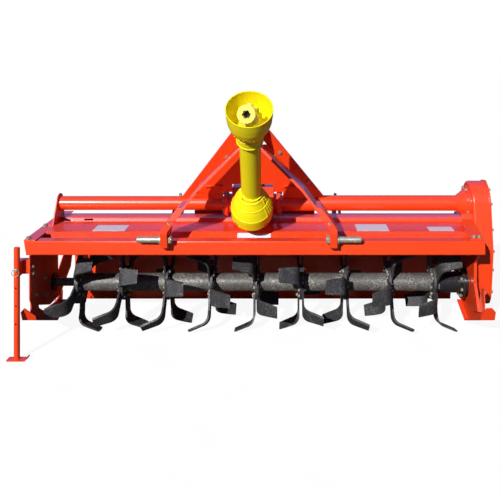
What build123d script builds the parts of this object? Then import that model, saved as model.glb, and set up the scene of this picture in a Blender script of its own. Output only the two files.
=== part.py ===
"""Side-gear-drive rotary tiller for a tractor: construction of every separate piece, in millimetres."""
import os
from math import cos, radians, sin

from build123d import *

os.makedirs("parts", exist_ok=True)

# ---- places shared by the whole machine ----
rotor_x = -37.0
rotor_y = 199.0
tip_radius = 236.0
rotor_z = tip_radius + 1.0
seat = 0.3
running_gap = 0.08

hitch_x = rotor_x - 9.0
drive_x = rotor_x - 3.0
tube_y = rotor_y + 20.0
tube_z = rotor_z + 398.0
input_z = rotor_z + 409.0

left_outer_x = rotor_x - 1032.0
plate_thick = 5.0
left_inner_x = left_outer_x + plate_thick
right_inner_x = rotor_x + 1074.0
right_outer_x = right_inner_x + 14.0

# ---- front beam: welded box section across the whole width ----
beam_front_y = rotor_y - 324.0
beam_depth = 60.0
beam_height = 66.0
beam_wall = 5.0
beam_bottom_z = rotor_z + 235.0
beam_top_z = beam_bottom_z + beam_height
beam_rear_y = beam_front_y + beam_depth
beam_left_x = rotor_x - 1056.0
beam_right_x = rotor_x + 1085.0
beam_end_slant = 11.0

with BuildPart() as front_beam:
    with BuildSketch(Plane.XZ.offset(-beam_front_y)):
        with BuildLine():
            Polyline(
                (beam_left_x, beam_top_z),
                (beam_right_x, beam_top_z),
                (beam_right_x, beam_bottom_z),
                (beam_left_x + beam_end_slant, beam_bottom_z),
                close=True,
            )
        make_face()
    extrude(amount=-beam_depth)
    fillet(front_beam.edges().filter_by(Axis.X), radius=6.0)
    with BuildSketch(Plane.YZ.offset(beam_left_x - 1.0)):
        with Locations((beam_front_y + beam_depth / 2, beam_bottom_z + beam_height / 2)):
            Rectangle(beam_depth - 2 * beam_wall, beam_height - 2 * beam_wall)
    extrude(amount=beam_right_x - beam_left_x + 2.0, mode=Mode.SUBTRACT)
front_beam.part.label = "front_beam"
export_step(front_beam.part, "parts/front_beam.step")

# ---- hood: one folded sheet from the beam over the rotor to the tailboard hinge ----
sheet = 4.0
flange_in = 26.0
deck_left_x = left_inner_x + flange_in + seat
deck_right_x = right_inner_x - seat
deck_top_z = rotor_z + 309.0
ridge_top_z = rotor_z + 326.0
hood_hinge_y = rotor_y + 318.0
hood_hinge_z = rotor_z + 151.0
lip_front_y = rotor_y - 228.0
ridge_front_y = rotor_y - 3.0
cut_depth = 36.0
slot_width = 46.0
slot_depth = 12.0
slot_offset = -850.0
deck_corner_cuts = (
    # front y, low z, high z, length along the machine
    (lip_front_y - 4.0, deck_top_z - 36.0, deck_top_z + 1.0, 48.0),
    (ridge_front_y - 6.0, deck_top_z + 1.0, ridge_top_z + 1.0, 80.0),
)
hood_line = (
    # y, z
    (beam_rear_y + seat, rotor_z + 275.0),
    (lip_front_y, rotor_z + 275.0),
    (rotor_y - 190.0, deck_top_z),
    (ridge_front_y, deck_top_z),
    (rotor_y + 6.0, ridge_top_z),
    (rotor_y + 96.0, ridge_top_z),
    (rotor_y + 226.0, rotor_z + 269.0),
    (rotor_y + 300.0, rotor_z + 169.0),
)

with BuildPart() as hood_deck:
    with BuildSketch(Plane.YZ.offset(deck_left_x)):
        with BuildLine() as hood_edge:
            Polyline(*hood_line)
            offset(hood_edge.line, amount=sheet, side=Side.RIGHT)
        make_face()
    extrude(amount=deck_right_x - deck_left_x)
    for cut_y, cut_low_z, cut_high_z, cut_run in deck_corner_cuts:
        with BuildSketch(Plane.XZ.offset(-cut_y)):
            with BuildLine():
                Polyline(
                    (deck_left_x - 1.0, cut_low_z),
                    (deck_left_x + cut_run, cut_low_z),
                    (deck_left_x + cut_run / 3, cut_high_z),
                    (deck_left_x - 1.0, cut_high_z),
                    close=True,
                )
            make_face()
        extrude(amount=-cut_depth, mode=Mode.SUBTRACT)
    with BuildSketch(Plane.XZ.offset(-ridge_front_y + slot_depth)):
        with Locations((rotor_x + slot_offset, (deck_top_z + ridge_top_z) / 2)):
            Rectangle(slot_width, ridge_top_z - deck_top_z - 2 * sheet)
    extrude(amount=-3 * slot_depth, mode=Mode.SUBTRACT)
hood_deck.part.label = "hood_deck"
export_step(hood_deck.part, "parts/hood_deck.step")

# ---- left side plate with its folded top flange and the rotor's bearing hole ----
flange_top_z = beam_top_z + seat + plate_thick
flange_out = 25.0
bearing_radius = 44.0
plate_front_y = rotor_y - 322.0
plate_rear_y = rotor_y + 312.0
window_front_y = rotor_y + 66.0
window_rear_y = rotor_y + 174.0

with BuildPart() as side_plate_left:
    with BuildSketch(Plane.YZ.offset(left_outer_x)):
        with BuildLine():
            Polyline(
                (plate_front_y, beam_bottom_z - seat),
                (plate_front_y, rotor_z + 29.0),
                (rotor_y - 300.0, rotor_z - 5.0),
                (rotor_y - 56.0, rotor_z - 95.0),
                (rotor_y + 96.0, rotor_z - 101.0),
                (plate_rear_y - 40.0, rotor_z - 11.0),
                (plate_rear_y, rotor_z + 79.0),
                (plate_rear_y, rotor_z + 189.0),
                (rotor_y + 232.0, flange_top_z),
                (beam_front_y, flange_top_z),
                (beam_front_y, beam_top_z + seat),
                (beam_rear_y + seat, beam_top_z + seat),
                (beam_rear_y + seat, beam_bottom_z - seat),
                close=True,
            )
        make_face()
        with Locations((rotor_y, rotor_z)):
            Circle(bearing_radius + seat, mode=Mode.SUBTRACT)
        with BuildLine():
            Polyline(
                (window_front_y, rotor_z + 33.0),
                (window_front_y, rotor_z + 149.0),
                (window_rear_y, rotor_z + 149.0),
                (window_rear_y, rotor_z + 105.0),
                close=True,
            )
        make_face(mode=Mode.SUBTRACT)
    extrude(amount=plate_thick)
    with BuildSketch(Plane.XY.offset(flange_top_z - plate_thick)):
        with Locations((left_outer_x - flange_out, beam_front_y)):
            Rectangle(
                flange_out + plate_thick + flange_in,
                rotor_y + 232.0 - beam_front_y,
                align=(Align.MIN, Align.MIN),
            )
    extrude(amount=plate_thick)
side_plate_left.part.label = "side_plate_left"
export_step(side_plate_left.part, "parts/side_plate_left.step")

# ---- right side plate between the hood and the gear case ----
with BuildPart() as side_plate_right:
    with BuildSketch(Plane.YZ.offset(right_inner_x)):
        with BuildLine():
            Polyline(
                (beam_rear_y + seat, rotor_z + 305.0),
                (beam_rear_y + seat, beam_bottom_z - seat),
                (rotor_y - 170.0, rotor_z + 149.0),
                (rotor_y - 170.0, rotor_z + 49.0),
                (rotor_y - 236.0, rotor_z - 61.0),
                (rotor_y - 150.0, rotor_z - 91.0),
                (rotor_y + 120.0, rotor_z - 101.0),
                (plate_rear_y - 40.0, rotor_z - 11.0),
                (plate_rear_y, rotor_z + 79.0),
                (plate_rear_y, rotor_z + 189.0),
                (rotor_y + 232.0, rotor_z + 305.0),
                close=True,
            )
        make_face()
        with Locations((rotor_y, rotor_z)):
            Circle(72.0, mode=Mode.SUBTRACT)
    extrude(amount=right_outer_x - right_inner_x)
side_plate_right.part.label = "side_plate_right"
export_step(side_plate_right.part, "parts/side_plate_right.step")

# ---- side gear case: three gear circles wrapped by one wall, and its flat outer cover ----
case_inner_x = right_outer_x + seat
case_depth = 82.0
cover_thick = 9.0
cover_x = case_inner_x + case_depth
case_edge = 12.0
cover_inset = 5.0
gear_circles = (
    # y, z, radius
    (tube_y, tube_z, 113.0),
    (rotor_y + 2.0, rotor_z + 193.0, 130.0),
    (rotor_y, rotor_z, 99.0),
)
boss_radius = 70.0

with BuildPart() as gear_case:
    with BuildSketch(Plane.YZ.offset(case_inner_x)):
        for gear_y, gear_z, gear_radius in gear_circles:
            with Locations((gear_y, gear_z)):
                Circle(gear_radius)
        make_hull()
    extrude(amount=case_depth)
    fillet(gear_case.faces().sort_by(Axis.X)[0].edges(), radius=case_edge)
gear_case.part.label = "gear_case"
export_step(gear_case.part, "parts/gear_case.step")

cap_radius = 46.0
cap_height = 12.0

with BuildPart() as gear_case_cover:
    with BuildSketch(Plane.YZ.offset(cover_x + seat)):
        for gear_y, gear_z, gear_radius in gear_circles:
            with Locations((gear_y, gear_z)):
                Circle(gear_radius + cover_inset)
        make_hull()
    extrude(amount=cover_thick)
    with BuildSketch(Plane.YZ.offset(cover_x + seat + cover_thick)):
        with Locations((tube_y, tube_z), (rotor_y, rotor_z)):
            Circle(cap_radius)
    extrude(amount=cap_height)
gear_case_cover.part.label = "gear_case_cover"
export_step(gear_case_cover.part, "parts/gear_case_cover.step")

# ---- axle tubes from the gearbox out to the left ear and to the gear case ----
tube_left_radius = 35.0
tube_right_radius = 39.0
gearbox_left_x = hitch_x - 148.0
gearbox_right_x = hitch_x + 140.0
flare_length = 46.0
flare_radius = 88.0
flange_thick = 12.0
ear_x = left_inner_x + flange_in - plate_thick

with BuildPart() as axle_tube_left:
    with Locations(Plane.YZ.offset(ear_x + plate_thick + seat)):
        with Locations((tube_y, tube_z)):
            Cylinder(
                radius=tube_left_radius,
                height=gearbox_left_x - ear_x - plate_thick - 2 * seat,
                align=(Align.CENTER, Align.CENTER, Align.MIN),
            )
axle_tube_left.part.label = "axle_tube_left"
export_step(axle_tube_left.part, "parts/axle_tube_left.step")

with BuildPart() as axle_tube_right:
    with BuildSketch(Plane.XZ.offset(-tube_y)):
        with BuildLine():
            Polyline(
                (gearbox_right_x + seat, tube_z),
                (gearbox_right_x + seat, tube_z + tube_right_radius),
                (case_inner_x - flange_thick - flare_length, tube_z + tube_right_radius),
                (case_inner_x - flange_thick, tube_z + flare_radius - 14.0),
                (case_inner_x - flange_thick, tube_z + flare_radius),
                (case_inner_x - seat, tube_z + flare_radius),
                (case_inner_x - seat, tube_z),
                close=True,
            )
        make_face()
    revolve(axis=Axis((0, tube_y, tube_z), (1, 0, 0)), revolution_arc=360.0)
axle_tube_right.part.label = "axle_tube_right"
export_step(axle_tube_right.part, "parts/axle_tube_right.step")

# ---- ear plate that stands on the left flange and carries the tube's end ----
ear_radius = 50.0
ear_foot_z = flange_top_z + seat

with BuildPart() as tube_ear_left:
    with BuildSketch(Plane.YZ.offset(ear_x)):
        with Locations((tube_y, tube_z)):
            Circle(ear_radius)
        with BuildLine():
            Polyline(
                (tube_y - 42.0, tube_z + 26.0),
                (tube_y + ear_radius, tube_z),
                (tube_y + 70.0, ear_foot_z),
                (rotor_y - 90.0, ear_foot_z),
                close=True,
            )
        make_face()
    extrude(amount=plate_thick)
    with BuildSketch(Plane.XY.offset(ear_foot_z)):
        with Locations((ear_x, rotor_y)):
            Rectangle(22.0, 150.0, align=(Align.MAX, Align.CENTER))
    extrude(amount=plate_thick)
tube_ear_left.part.label = "tube_ear_left"
export_step(tube_ear_left.part, "parts/tube_ear_left.step")

# ---- central bevel gearbox: body, two tube flanges, input nose ----
gearbox_front_y = tube_y - 80.0
gearbox_rear_y = tube_y + 82.0
gearbox_bottom_z = ridge_top_z + 6.0
gearbox_top_z = rotor_z + 487.0
gearbox_half = 104.0
gearbox_flange_radius = 64.0
gearbox_flange_thick = 20.0
nose_radius = 44.0
nose_front_y = rotor_y - 80.0

with BuildPart() as gearbox_body:
    with BuildSketch(Plane.YZ.offset(hitch_x - gearbox_half)):
        with BuildLine():
            Polyline(
                (gearbox_front_y, gearbox_bottom_z + 18.0),
                (gearbox_front_y + 18.0, gearbox_bottom_z),
                (gearbox_rear_y - 18.0, gearbox_bottom_z),
                (gearbox_rear_y, gearbox_bottom_z + 18.0),
                (gearbox_rear_y, gearbox_top_z - 40.0),
                (gearbox_rear_y - 46.0, gearbox_top_z),
                (gearbox_front_y + 40.0, gearbox_top_z),
                (gearbox_front_y, gearbox_top_z - 34.0),
                close=True,
            )
        make_face()
    extrude(amount=2 * gearbox_half)
    fillet(gearbox_body.edges().filter_by(Axis.X), radius=8.0)
    with Locations(Plane.YZ.offset(gearbox_left_x + seat)):
        with Locations((tube_y, tube_z)):
            Cylinder(
                radius=gearbox_flange_radius,
                height=gearbox_flange_thick,
                align=(Align.CENTER, Align.CENTER, Align.MIN),
            )
            Cylinder(
                radius=gearbox_flange_radius - 16.0,
                height=gearbox_right_x - gearbox_left_x - 2 * seat,
                align=(Align.CENTER, Align.CENTER, Align.MIN),
            )
    with Locations(Plane.YZ.offset(gearbox_right_x - seat)):
        with Locations((tube_y, tube_z)):
            Cylinder(
                radius=gearbox_flange_radius,
                height=gearbox_flange_thick,
                align=(Align.CENTER, Align.CENTER, Align.MAX),
            )
    with Locations(Plane.XZ.offset(-nose_front_y)):
        with Locations((drive_x, input_z)):
            Cylinder(
                radius=nose_radius,
                height=gearbox_front_y - nose_front_y + 20.0,
                align=(Align.CENTER, Align.CENTER, Align.MAX),
            )
gearbox_body.part.label = "gearbox_body"
export_step(gearbox_body.part, "parts/gearbox_body.step")

rear_cover_radius = 58.0

with BuildPart() as gearbox_rear_cover:
    with Locations(Plane.XZ.offset(-gearbox_rear_y - seat)):
        with Locations((drive_x, input_z)):
            Cylinder(
                radius=rear_cover_radius,
                height=12.0,
                align=(Align.CENTER, Align.CENTER, Align.MAX),
            )
            Cylinder(
                radius=rear_cover_radius - 20.0,
                height=20.0,
                align=(Align.CENTER, Align.CENTER, Align.MAX),
            )
gearbox_rear_cover.part.label = "gearbox_rear_cover"
export_step(gearbox_rear_cover.part, "parts/gearbox_rear_cover.step")

# ---- three-point hitch: lower arms bent inward to the top-link ears ----
pin_y = rotor_y - 355.0
pin_z = rotor_z + 317.0
hitch_half = 404.0
doubler_thick = 20.0
arm_half = hitch_half - doubler_thick
arm_thick = 12.0
ear_gap = 52.0
ear_thick = 12.0
top_pin_y = rotor_y - 262.0
top_pin_z = rotor_z + 833.0
arm_bend_z = rotor_z + 361.0
arm_knee_half = 254.0
arm_knee_z = rotor_z + 532.0
arm_top_bend_z = rotor_z + 730.0
arm_top_z = rotor_z + 819.0
arm_top_half = ear_gap / 2 + ear_thick + seat
arm_eye_radius = 36.0
pin_radius = 14.0
pin_hole_radius = 10.0
pin_shank_radius = pin_hole_radius - running_gap

arm_bottom_z = beam_bottom_z + 34.0
doubler_top_z = arm_bend_z + 92.0
arm_side_outline = (
    # y, z
    (pin_y - 20.0, arm_bottom_z + 14.0),
    (beam_front_y - seat, arm_bottom_z),
    (beam_front_y - seat, beam_top_z + seat),
    (beam_rear_y, beam_top_z + seat),
    (beam_rear_y + 40.0, rotor_z + 389.0),
    (rotor_y - 120.0, rotor_z + 509.0),
    (top_pin_y + 62.0, rotor_z + 749.0),
    (top_pin_y + 62.0, rotor_z + 793.0),
    (top_pin_y + 4.0, rotor_z + 805.0),
    (top_pin_y - 6.0, rotor_z + 749.0),
    (beam_front_y - 6.0, rotor_z + 399.0),
    (pin_y - 34.0, rotor_z + 353.0),
)
arm_line = (
    # half width, z
    (arm_half, arm_bottom_z - 20.0),
    (arm_half, arm_bend_z),
    (arm_knee_half, arm_knee_z),
    (arm_top_half + arm_thick, arm_top_bend_z),
    (arm_top_half + arm_thick, arm_top_z),
)
doubler_outline = (
    # half width, z
    (arm_half - 1.0, arm_bottom_z - 20.0),
    (hitch_half, arm_bottom_z - 20.0),
    (hitch_half, arm_bend_z + 6.0),
    (hitch_half - 70.0, doubler_top_z),
    (hitch_half - 92.0, doubler_top_z),
    (arm_half - 1.0, arm_bend_z),
)

for arm_name, arm_side in (("hitch_arm_left", -1), ("hitch_arm_right", 1)):
    with BuildPart() as hitch_arm:
        with BuildSketch(Plane.XZ.offset(-pin_y + 60.0)):
            with BuildLine() as arm_edge:
                Polyline(*[(hitch_x + arm_side * half, height) for half, height in arm_line])
                offset(arm_edge.line, amount=arm_thick, side=Side.RIGHT if arm_side < 0 else Side.LEFT)
            make_face()
            with BuildLine():
                Polyline(
                    *[(hitch_x + arm_side * half, height) for half, height in doubler_outline],
                    close=True,
                )
            make_face()
        extrude(amount=-400.0)
        with BuildSketch(Plane.YZ.offset(hitch_x - hitch_half - 10.0)):
            with BuildLine():
                Polyline(*arm_side_outline, close=True)
            make_face()
        extrude(amount=2 * hitch_half + 20.0, mode=Mode.INTERSECT)
        with Locations((hitch_x + arm_side * hitch_half, pin_y, pin_z)):
            Cylinder(pin_hole_radius, 4 * doubler_thick, rotation=(0, 90, 0), mode=Mode.SUBTRACT)
    hitch_arm.part.label = arm_name
    export_step(hitch_arm.part, "parts/" + arm_name + ".step")

arm_foot_thick = doubler_thick + arm_thick
pin_reach = 112.0
pin_collar_radius = 21.0
pin_collar = 9.0
pin_nut_radius = 17.0
pin_nut = 16.0
pin_taper = 8.0
linch_hole_radius = 6.0

for pin_name, pin_side in (("lower_pin_left", -1), ("lower_pin_right", 1)):
    pin_plane = Plane(
        origin=(hitch_x + pin_side * hitch_half, pin_y, pin_z),
        x_dir=(0, 1, 0),
        z_dir=(pin_side, 0, 0),
    )
    with BuildPart() as lower_pin:
        with Locations(pin_plane.offset(seat)):
            Cylinder(pin_collar_radius, pin_collar, align=(Align.CENTER, Align.CENTER, Align.MIN))
            Cylinder(pin_radius, pin_reach, align=(Align.CENTER, Align.CENTER, Align.MIN))
        chamfer(lower_pin.faces().sort_by(Axis.X)[min(0, -pin_side)].edges(), length=pin_taper / 2)
        with Locations(pin_plane):
            Cylinder(
                pin_shank_radius,
                arm_foot_thick + pin_nut,
                align=(Align.CENTER, Align.CENTER, Align.MAX),
            )
            Cylinder(pin_shank_radius, pin_collar, align=(Align.CENTER, Align.CENTER, Align.MIN))
        with Locations(pin_plane.offset(-arm_foot_thick - seat)):
            Cylinder(pin_nut_radius, pin_nut, align=(Align.CENTER, Align.CENTER, Align.MAX))
        with Locations(pin_plane.offset(pin_reach - 20.0)):
            Cylinder(linch_hole_radius, 3 * pin_radius, rotation=(90, 0, 0), mode=Mode.SUBTRACT)
    lower_pin.part.label = pin_name
    export_step(lower_pin.part, "parts/" + pin_name + ".step")

# ---- top-link ears between the arms' upper ends, and their pin ----
top_hole_radius = 12.75
top_pin_radius = top_hole_radius - 0.25
ear_plate_outline = (
    # y, z
    (top_pin_y - 30.0, top_pin_z + 12.0),
    (top_pin_y - 22.0, top_pin_z + 28.0),
    (top_pin_y + 20.0, top_pin_z + 28.0),
    (top_pin_y + 120.0, top_pin_z - 44.0),
    (top_pin_y + 132.0, top_pin_z - 94.0),
    (top_pin_y + 20.0, top_pin_z - 94.0),
    (top_pin_y - 14.0, top_pin_z - 64.0),
)

with BuildPart() as top_link_ears:
    with BuildSketch(Plane.YZ.offset(hitch_x - ear_gap / 2 - ear_thick)):
        with BuildLine():
            Polyline(*ear_plate_outline, close=True)
        make_face()
        with Locations((top_pin_y, top_pin_z)):
            Circle(top_hole_radius, mode=Mode.SUBTRACT)
    extrude(amount=ear_thick)
    with BuildSketch(Plane.YZ.offset(hitch_x + ear_gap / 2)):
        with BuildLine():
            Polyline(*ear_plate_outline, close=True)
        make_face()
        with Locations((top_pin_y, top_pin_z)):
            Circle(top_hole_radius, mode=Mode.SUBTRACT)
    extrude(amount=ear_thick)
    with BuildSketch(Plane.YZ.offset(hitch_x - ear_gap / 2 - 1.0)):
        with Locations((top_pin_y + 96.0, top_pin_z - 72.0)):
            Rectangle(54.0, 30.0)
    extrude(amount=ear_gap + 2.0)
top_link_ears.part.label = "top_link_ears"
export_step(top_link_ears.part, "parts/top_link_ears.step")

# ---- rear mast legs: angle bars from the axle tube up to the top-link ears ----
leg_width = 58.0
leg_thick = 8.0
leg_foot_half = 356.0
leg_top_half = 66.0
leg_foot_z = tube_z
leg_top_z = top_pin_z - 54.0
leg_foot_y = tube_y - 4.0
leg_top_y = top_pin_y + 108.0

for leg_name, leg_side in (("mast_leg_left", -1), ("mast_leg_right", 1)):
    leg_foot = Vector(hitch_x + leg_side * leg_foot_half, leg_foot_y, leg_foot_z)
    leg_head = Vector(hitch_x + leg_side * leg_top_half, leg_top_y, leg_top_z)
    leg_run = leg_head - leg_foot
    tube_radius = tube_left_radius if leg_side < 0 else tube_right_radius
    leg_flange_align = Align.MAX if leg_side < 0 else Align.MIN
    with BuildPart() as mast_leg:
        with BuildSketch(Plane(origin=leg_foot, x_dir=(leg_side, 0, 0), z_dir=leg_run)):
            Rectangle(leg_width, leg_thick)
            with Locations((-leg_width / 2, leg_side * -leg_thick / 2)):
                Rectangle(leg_thick, leg_width, align=(Align.MIN, leg_flange_align))
        extrude(amount=leg_run.length)
        with Locations(Plane.YZ.offset(leg_foot.X)):
            with Locations((tube_y, tube_z)):
                Cylinder(tube_radius + seat, 4 * leg_width, mode=Mode.SUBTRACT)
        with Locations((leg_foot.X, tube_y, tube_z)):
            Box(
                8 * leg_width,
                4 * leg_width,
                4 * leg_width,
                align=(Align.CENTER, Align.CENTER, Align.MAX),
                mode=Mode.SUBTRACT,
            )
    mast_leg.part.label = leg_name
    export_step(mast_leg.part, "parts/" + leg_name + ".step")

# ---- sheet that closes the triangle between the rear mast legs ----
panel_thick = 5.0
panel_foot = Vector(hitch_x, leg_foot_y, leg_foot_z)
panel_head = Vector(hitch_x, leg_top_y, leg_top_z)
panel_run = panel_head - panel_foot
panel_low = 72.0
panel_high = panel_run.length - 60.0
panel_low_half = 276.0
panel_high_half = 84.0
panel_lip = 16.0
panel_notch = 52.0
panel_notch_half = 152.0
panel_lip_run = panel_low + 40.0
panel_lip_half = panel_low_half - 34.0
panel_plane = Plane(
    origin=panel_foot,
    x_dir=(1, 0, 0),
    z_dir=Vector(1, 0, 0).cross(panel_run),
)

with BuildPart() as mast_panel:
    with BuildSketch(panel_plane.offset(leg_thick / 2 + seat)):
        with BuildLine():
            Polyline(
                (-panel_low_half, panel_low),
                (panel_low_half, panel_low),
                (panel_high_half, panel_high),
                (-panel_high_half, panel_high),
                close=True,
            )
        make_face()
    extrude(amount=panel_thick)
    with BuildSketch(panel_plane.offset(leg_thick / 2 + seat)):
        with Locations((0, panel_lip_run)):
            Rectangle(2 * panel_lip_half, panel_thick, align=(Align.CENTER, Align.MIN))
    extrude(amount=panel_lip)
    with BuildSketch(panel_plane.offset(-panel_lip)):
        with Locations((0, panel_low - 1.0)):
            Rectangle(2 * panel_notch_half, panel_notch, align=(Align.CENTER, Align.MIN))
    extrude(amount=4 * panel_lip, mode=Mode.SUBTRACT)
mast_panel.part.label = "mast_panel"
export_step(mast_panel.part, "parts/mast_panel.step")

# ---- cross rail behind the axle tube, standing on the hood's rear slope ----
rail_front_y = rotor_y + 134.0
rail_half = 318.0
rail_bottom_z = rotor_z + 307.0
rail_top_z = rotor_z + 357.0
rail_depth = 36.0
rail_thick = 6.0

with BuildPart() as cross_rail:
    with BuildSketch(Plane.YZ.offset(hitch_x - rail_half)):
        with Locations((rail_front_y, rail_bottom_z)):
            Rectangle(rail_thick, rail_top_z - rail_bottom_z, align=(Align.MIN, Align.MIN))
        with Locations((rail_front_y, rail_top_z)):
            Rectangle(rail_depth, rail_thick, align=(Align.MIN, Align.MAX))
    extrude(amount=2 * rail_half)
    with BuildSketch(Plane.YZ.offset(deck_left_x)):
        with BuildLine() as rail_clear:
            Polyline(*hood_line)
            offset(rail_clear.line, amount=sheet, side=Side.RIGHT)
        make_face()
        offset(amount=seat)
    extrude(amount=deck_right_x - deck_left_x, mode=Mode.SUBTRACT)
cross_rail.part.label = "cross_rail"
export_step(cross_rail.part, "parts/cross_rail.step")

# ---- diagonal brace from the gear case to the front beam ----
brace_thick = 8.0
brace_front_y = beam_front_y + 14.0
brace_rear_y = rotor_y - 92.0
brace_rise = 37.0
brace_foot_left = rotor_x + 1018.0
brace_foot_right = beam_right_x - 2.0
brace_head_left = rotor_x + 1036.0

with BuildPart() as right_brace:
    with BuildSketch(Plane.YZ.offset(brace_foot_left - 1.0)):
        with BuildLine() as brace_edge:
            Polyline(
                (brace_front_y, beam_top_z + seat),
                (beam_rear_y - 26.0, beam_top_z + seat),
                (brace_rear_y, beam_top_z + brace_rise),
                (brace_rear_y + 8.0, beam_top_z + brace_rise + 30.0),
            )
            offset(brace_edge.line, amount=brace_thick, side=Side.LEFT)
        make_face()
    extrude(amount=case_inner_x + 40.0 - brace_foot_left)
    with BuildSketch(Plane.XY.offset(beam_top_z - 10.0)):
        with BuildLine():
            Polyline(
                (brace_foot_left, brace_front_y - 1.0),
                (brace_foot_right, brace_front_y - 1.0),
                (brace_foot_right, beam_rear_y),
                (case_inner_x - seat, rotor_y - 130.0),
                (case_inner_x - seat, brace_rear_y + 40.0),
                (brace_head_left, brace_rear_y + 40.0),
                (brace_foot_left, beam_rear_y),
                close=True,
            )
        make_face()
    extrude(amount=120.0, mode=Mode.INTERSECT)
right_brace.part.label = "right_brace"
export_step(right_brace.part, "parts/right_brace.step")

# ---- skids: sole sloping down to the rear, nose bent up, one upright web ----
skid_width = 66.0
sole_thick = 6.0
skid_web = 6.0
sole_front = (rotor_y - 306.0, rotor_z - 73.0)
sole_rear = (rotor_y - 8.0, rotor_z - 194.0)
sole_tail = (rotor_y + 150.0, rotor_z - 150.0)
nose_top = (rotor_y - 334.0, rotor_z - 9.0)
nose_corner = 22.0

skid_table = (
    # name, outer side, sole's outer edge x, web x, nose cut from the inner side
    ("skid_left", -1, rotor_x - 1070.0, left_outer_x - skid_web - seat, 50.0),
    ("skid_right", 1, rotor_x + 1134.0, right_outer_x + seat, nose_corner),
)

for skid_name, skid_side, skid_edge_x, web_x, nose_cut in skid_table:
    skid_inner_x = skid_edge_x - skid_side * skid_width
    with BuildPart() as skid:
        with BuildSketch(Plane.YZ.offset(min(skid_edge_x, skid_inner_x))):
            with BuildLine() as sole_line:
                Polyline(nose_top, sole_front, sole_rear, sole_tail)
                offset(sole_line.line, amount=sole_thick, side=Side.LEFT)
            make_face()
        extrude(amount=skid_width)
        with BuildSketch(Plane.XZ.offset(-nose_top[0] + 40.0)):
            with BuildLine():
                Polyline(
                    (skid_inner_x - skid_side, nose_top[1] + 2 * sole_thick),
                    (skid_inner_x + skid_side * nose_cut, nose_top[1] + 2 * sole_thick),
                    (skid_inner_x + skid_side * nose_cut, nose_top[1] + sole_thick),
                    (skid_inner_x - skid_side, sole_front[1] + nose_corner),
                    close=True,
                )
            make_face()
            with BuildLine():
                Polyline(
                    (skid_edge_x + skid_side, nose_top[1] + 2 * sole_thick),
                    (skid_edge_x - skid_side * nose_corner, nose_top[1] + 2 * sole_thick),
                    (skid_edge_x - skid_side * nose_corner, nose_top[1] + sole_thick),
                    (skid_edge_x + skid_side, nose_top[1] - nose_corner),
                    close=True,
                )
            make_face()
        extrude(amount=-90.0, mode=Mode.SUBTRACT)
        with BuildSketch(Plane.YZ.offset(web_x)):
            with BuildLine():
                Polyline(
                    (sole_front[0] + 12.0, sole_front[1] + 1.0),
                    (sole_front[0] + 20.0, rotor_z + 62.0),
                    (sole_front[0] + 60.0, rotor_z + 62.0),
                    (rotor_y - 190.0, rotor_z - 60.0),
                    (rotor_y - 130.0, rotor_z - 96.0),
                    (rotor_y + 60.0, rotor_z - 120.0),
                    (sole_tail[0] + 6.0, sole_tail[1] + 56.0),
                    (sole_tail[0] - 1.0, sole_tail[1] + 1.0),
                    (sole_rear[0], sole_rear[1] + 1.0),
                    close=True,
                )
            make_face()
        extrude(amount=skid_web)
    skid.part.label = skid_name
    export_step(skid.part, "parts/" + skid_name + ".step")

# ---- left bearing housing and the gear case's output collar ----
shaft_radius = 20.0
bearing_face = 10.0

with BuildPart() as bearing_left:
    with Locations(Plane.YZ.offset(left_outer_x - 16.0)):
        with Locations((rotor_y, rotor_z)):
            Cylinder(
                bearing_radius,
                plate_thick + 16.0 + bearing_face,
                align=(Align.CENTER, Align.CENTER, Align.MIN),
            )
            Cylinder(
                bearing_radius + 22.0,
                16.0 - seat,
                align=(Align.CENTER, Align.CENTER, Align.MIN),
            )
    with Locations(Plane.YZ.offset(left_outer_x - 8.0)):
        with Locations((rotor_y, rotor_z)):
            Cylinder(
                shaft_radius,
                200.0,
                align=(Align.CENTER, Align.CENTER, Align.MIN),
                mode=Mode.SUBTRACT,
            )
bearing_left.part.label = "bearing_left"
export_step(bearing_left.part, "parts/bearing_left.step")

collar_radius = 62.0
collar_face = 14.0

with BuildPart() as output_collar:
    with Locations(Plane.YZ.offset(right_inner_x - collar_face)):
        with Locations((rotor_y, rotor_z)):
            Cylinder(
                collar_radius,
                case_inner_x - right_inner_x + collar_face - seat,
                align=(Align.CENTER, Align.CENTER, Align.MIN),
            )
            Cylinder(
                shaft_radius,
                400.0,
                mode=Mode.SUBTRACT,
            )
output_collar.part.label = "output_collar"
export_step(output_collar.part, "parts/output_collar.step")

# ---- parking stand: saddle on the side plate, drilled tube with a foot, and its pin ----
stand_x = rotor_x - 1076.0
stand_y = rotor_y - 352.0
stand_radius = 13.5
stand_bore = 10.0
stand_foot_z = 1.0
stand_top_z = rotor_z + 280.0
stand_hole_radius = 4.0
stand_hole_pitch = 82.0
stand_hole_first = rotor_z - 67.0
stand_holes = 4
stand_pin_z = stand_hole_first + (stand_holes - 1) * stand_hole_pitch
saddle_bottom_z = stand_pin_z - 32.0
saddle_height = 64.0
saddle_half = 12.0
saddle_rear_y = plate_front_y + 40.0
foot_width = 84.0
foot_depth = 38.0
foot_thick = 6.0

with BuildPart() as stand_bracket:
    with BuildSketch(Plane.XY.offset(saddle_bottom_z)):
        with BuildLine():
            Polyline(
                (stand_x - saddle_half, stand_y),
                (stand_x + saddle_half, stand_y),
                (stand_x + saddle_half, saddle_rear_y - 34.0),
                (left_outer_x - seat, saddle_rear_y - 34.0),
                (left_outer_x - seat, saddle_rear_y),
                (stand_x - saddle_half, saddle_rear_y),
                close=True,
            )
        make_face()
    extrude(amount=saddle_height)
    with Locations((stand_x, stand_y, saddle_bottom_z)):
        Cylinder(stand_radius + seat, 4 * saddle_height, mode=Mode.SUBTRACT)
stand_bracket.part.label = "stand_bracket"
export_step(stand_bracket.part, "parts/stand_bracket.step")

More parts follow.
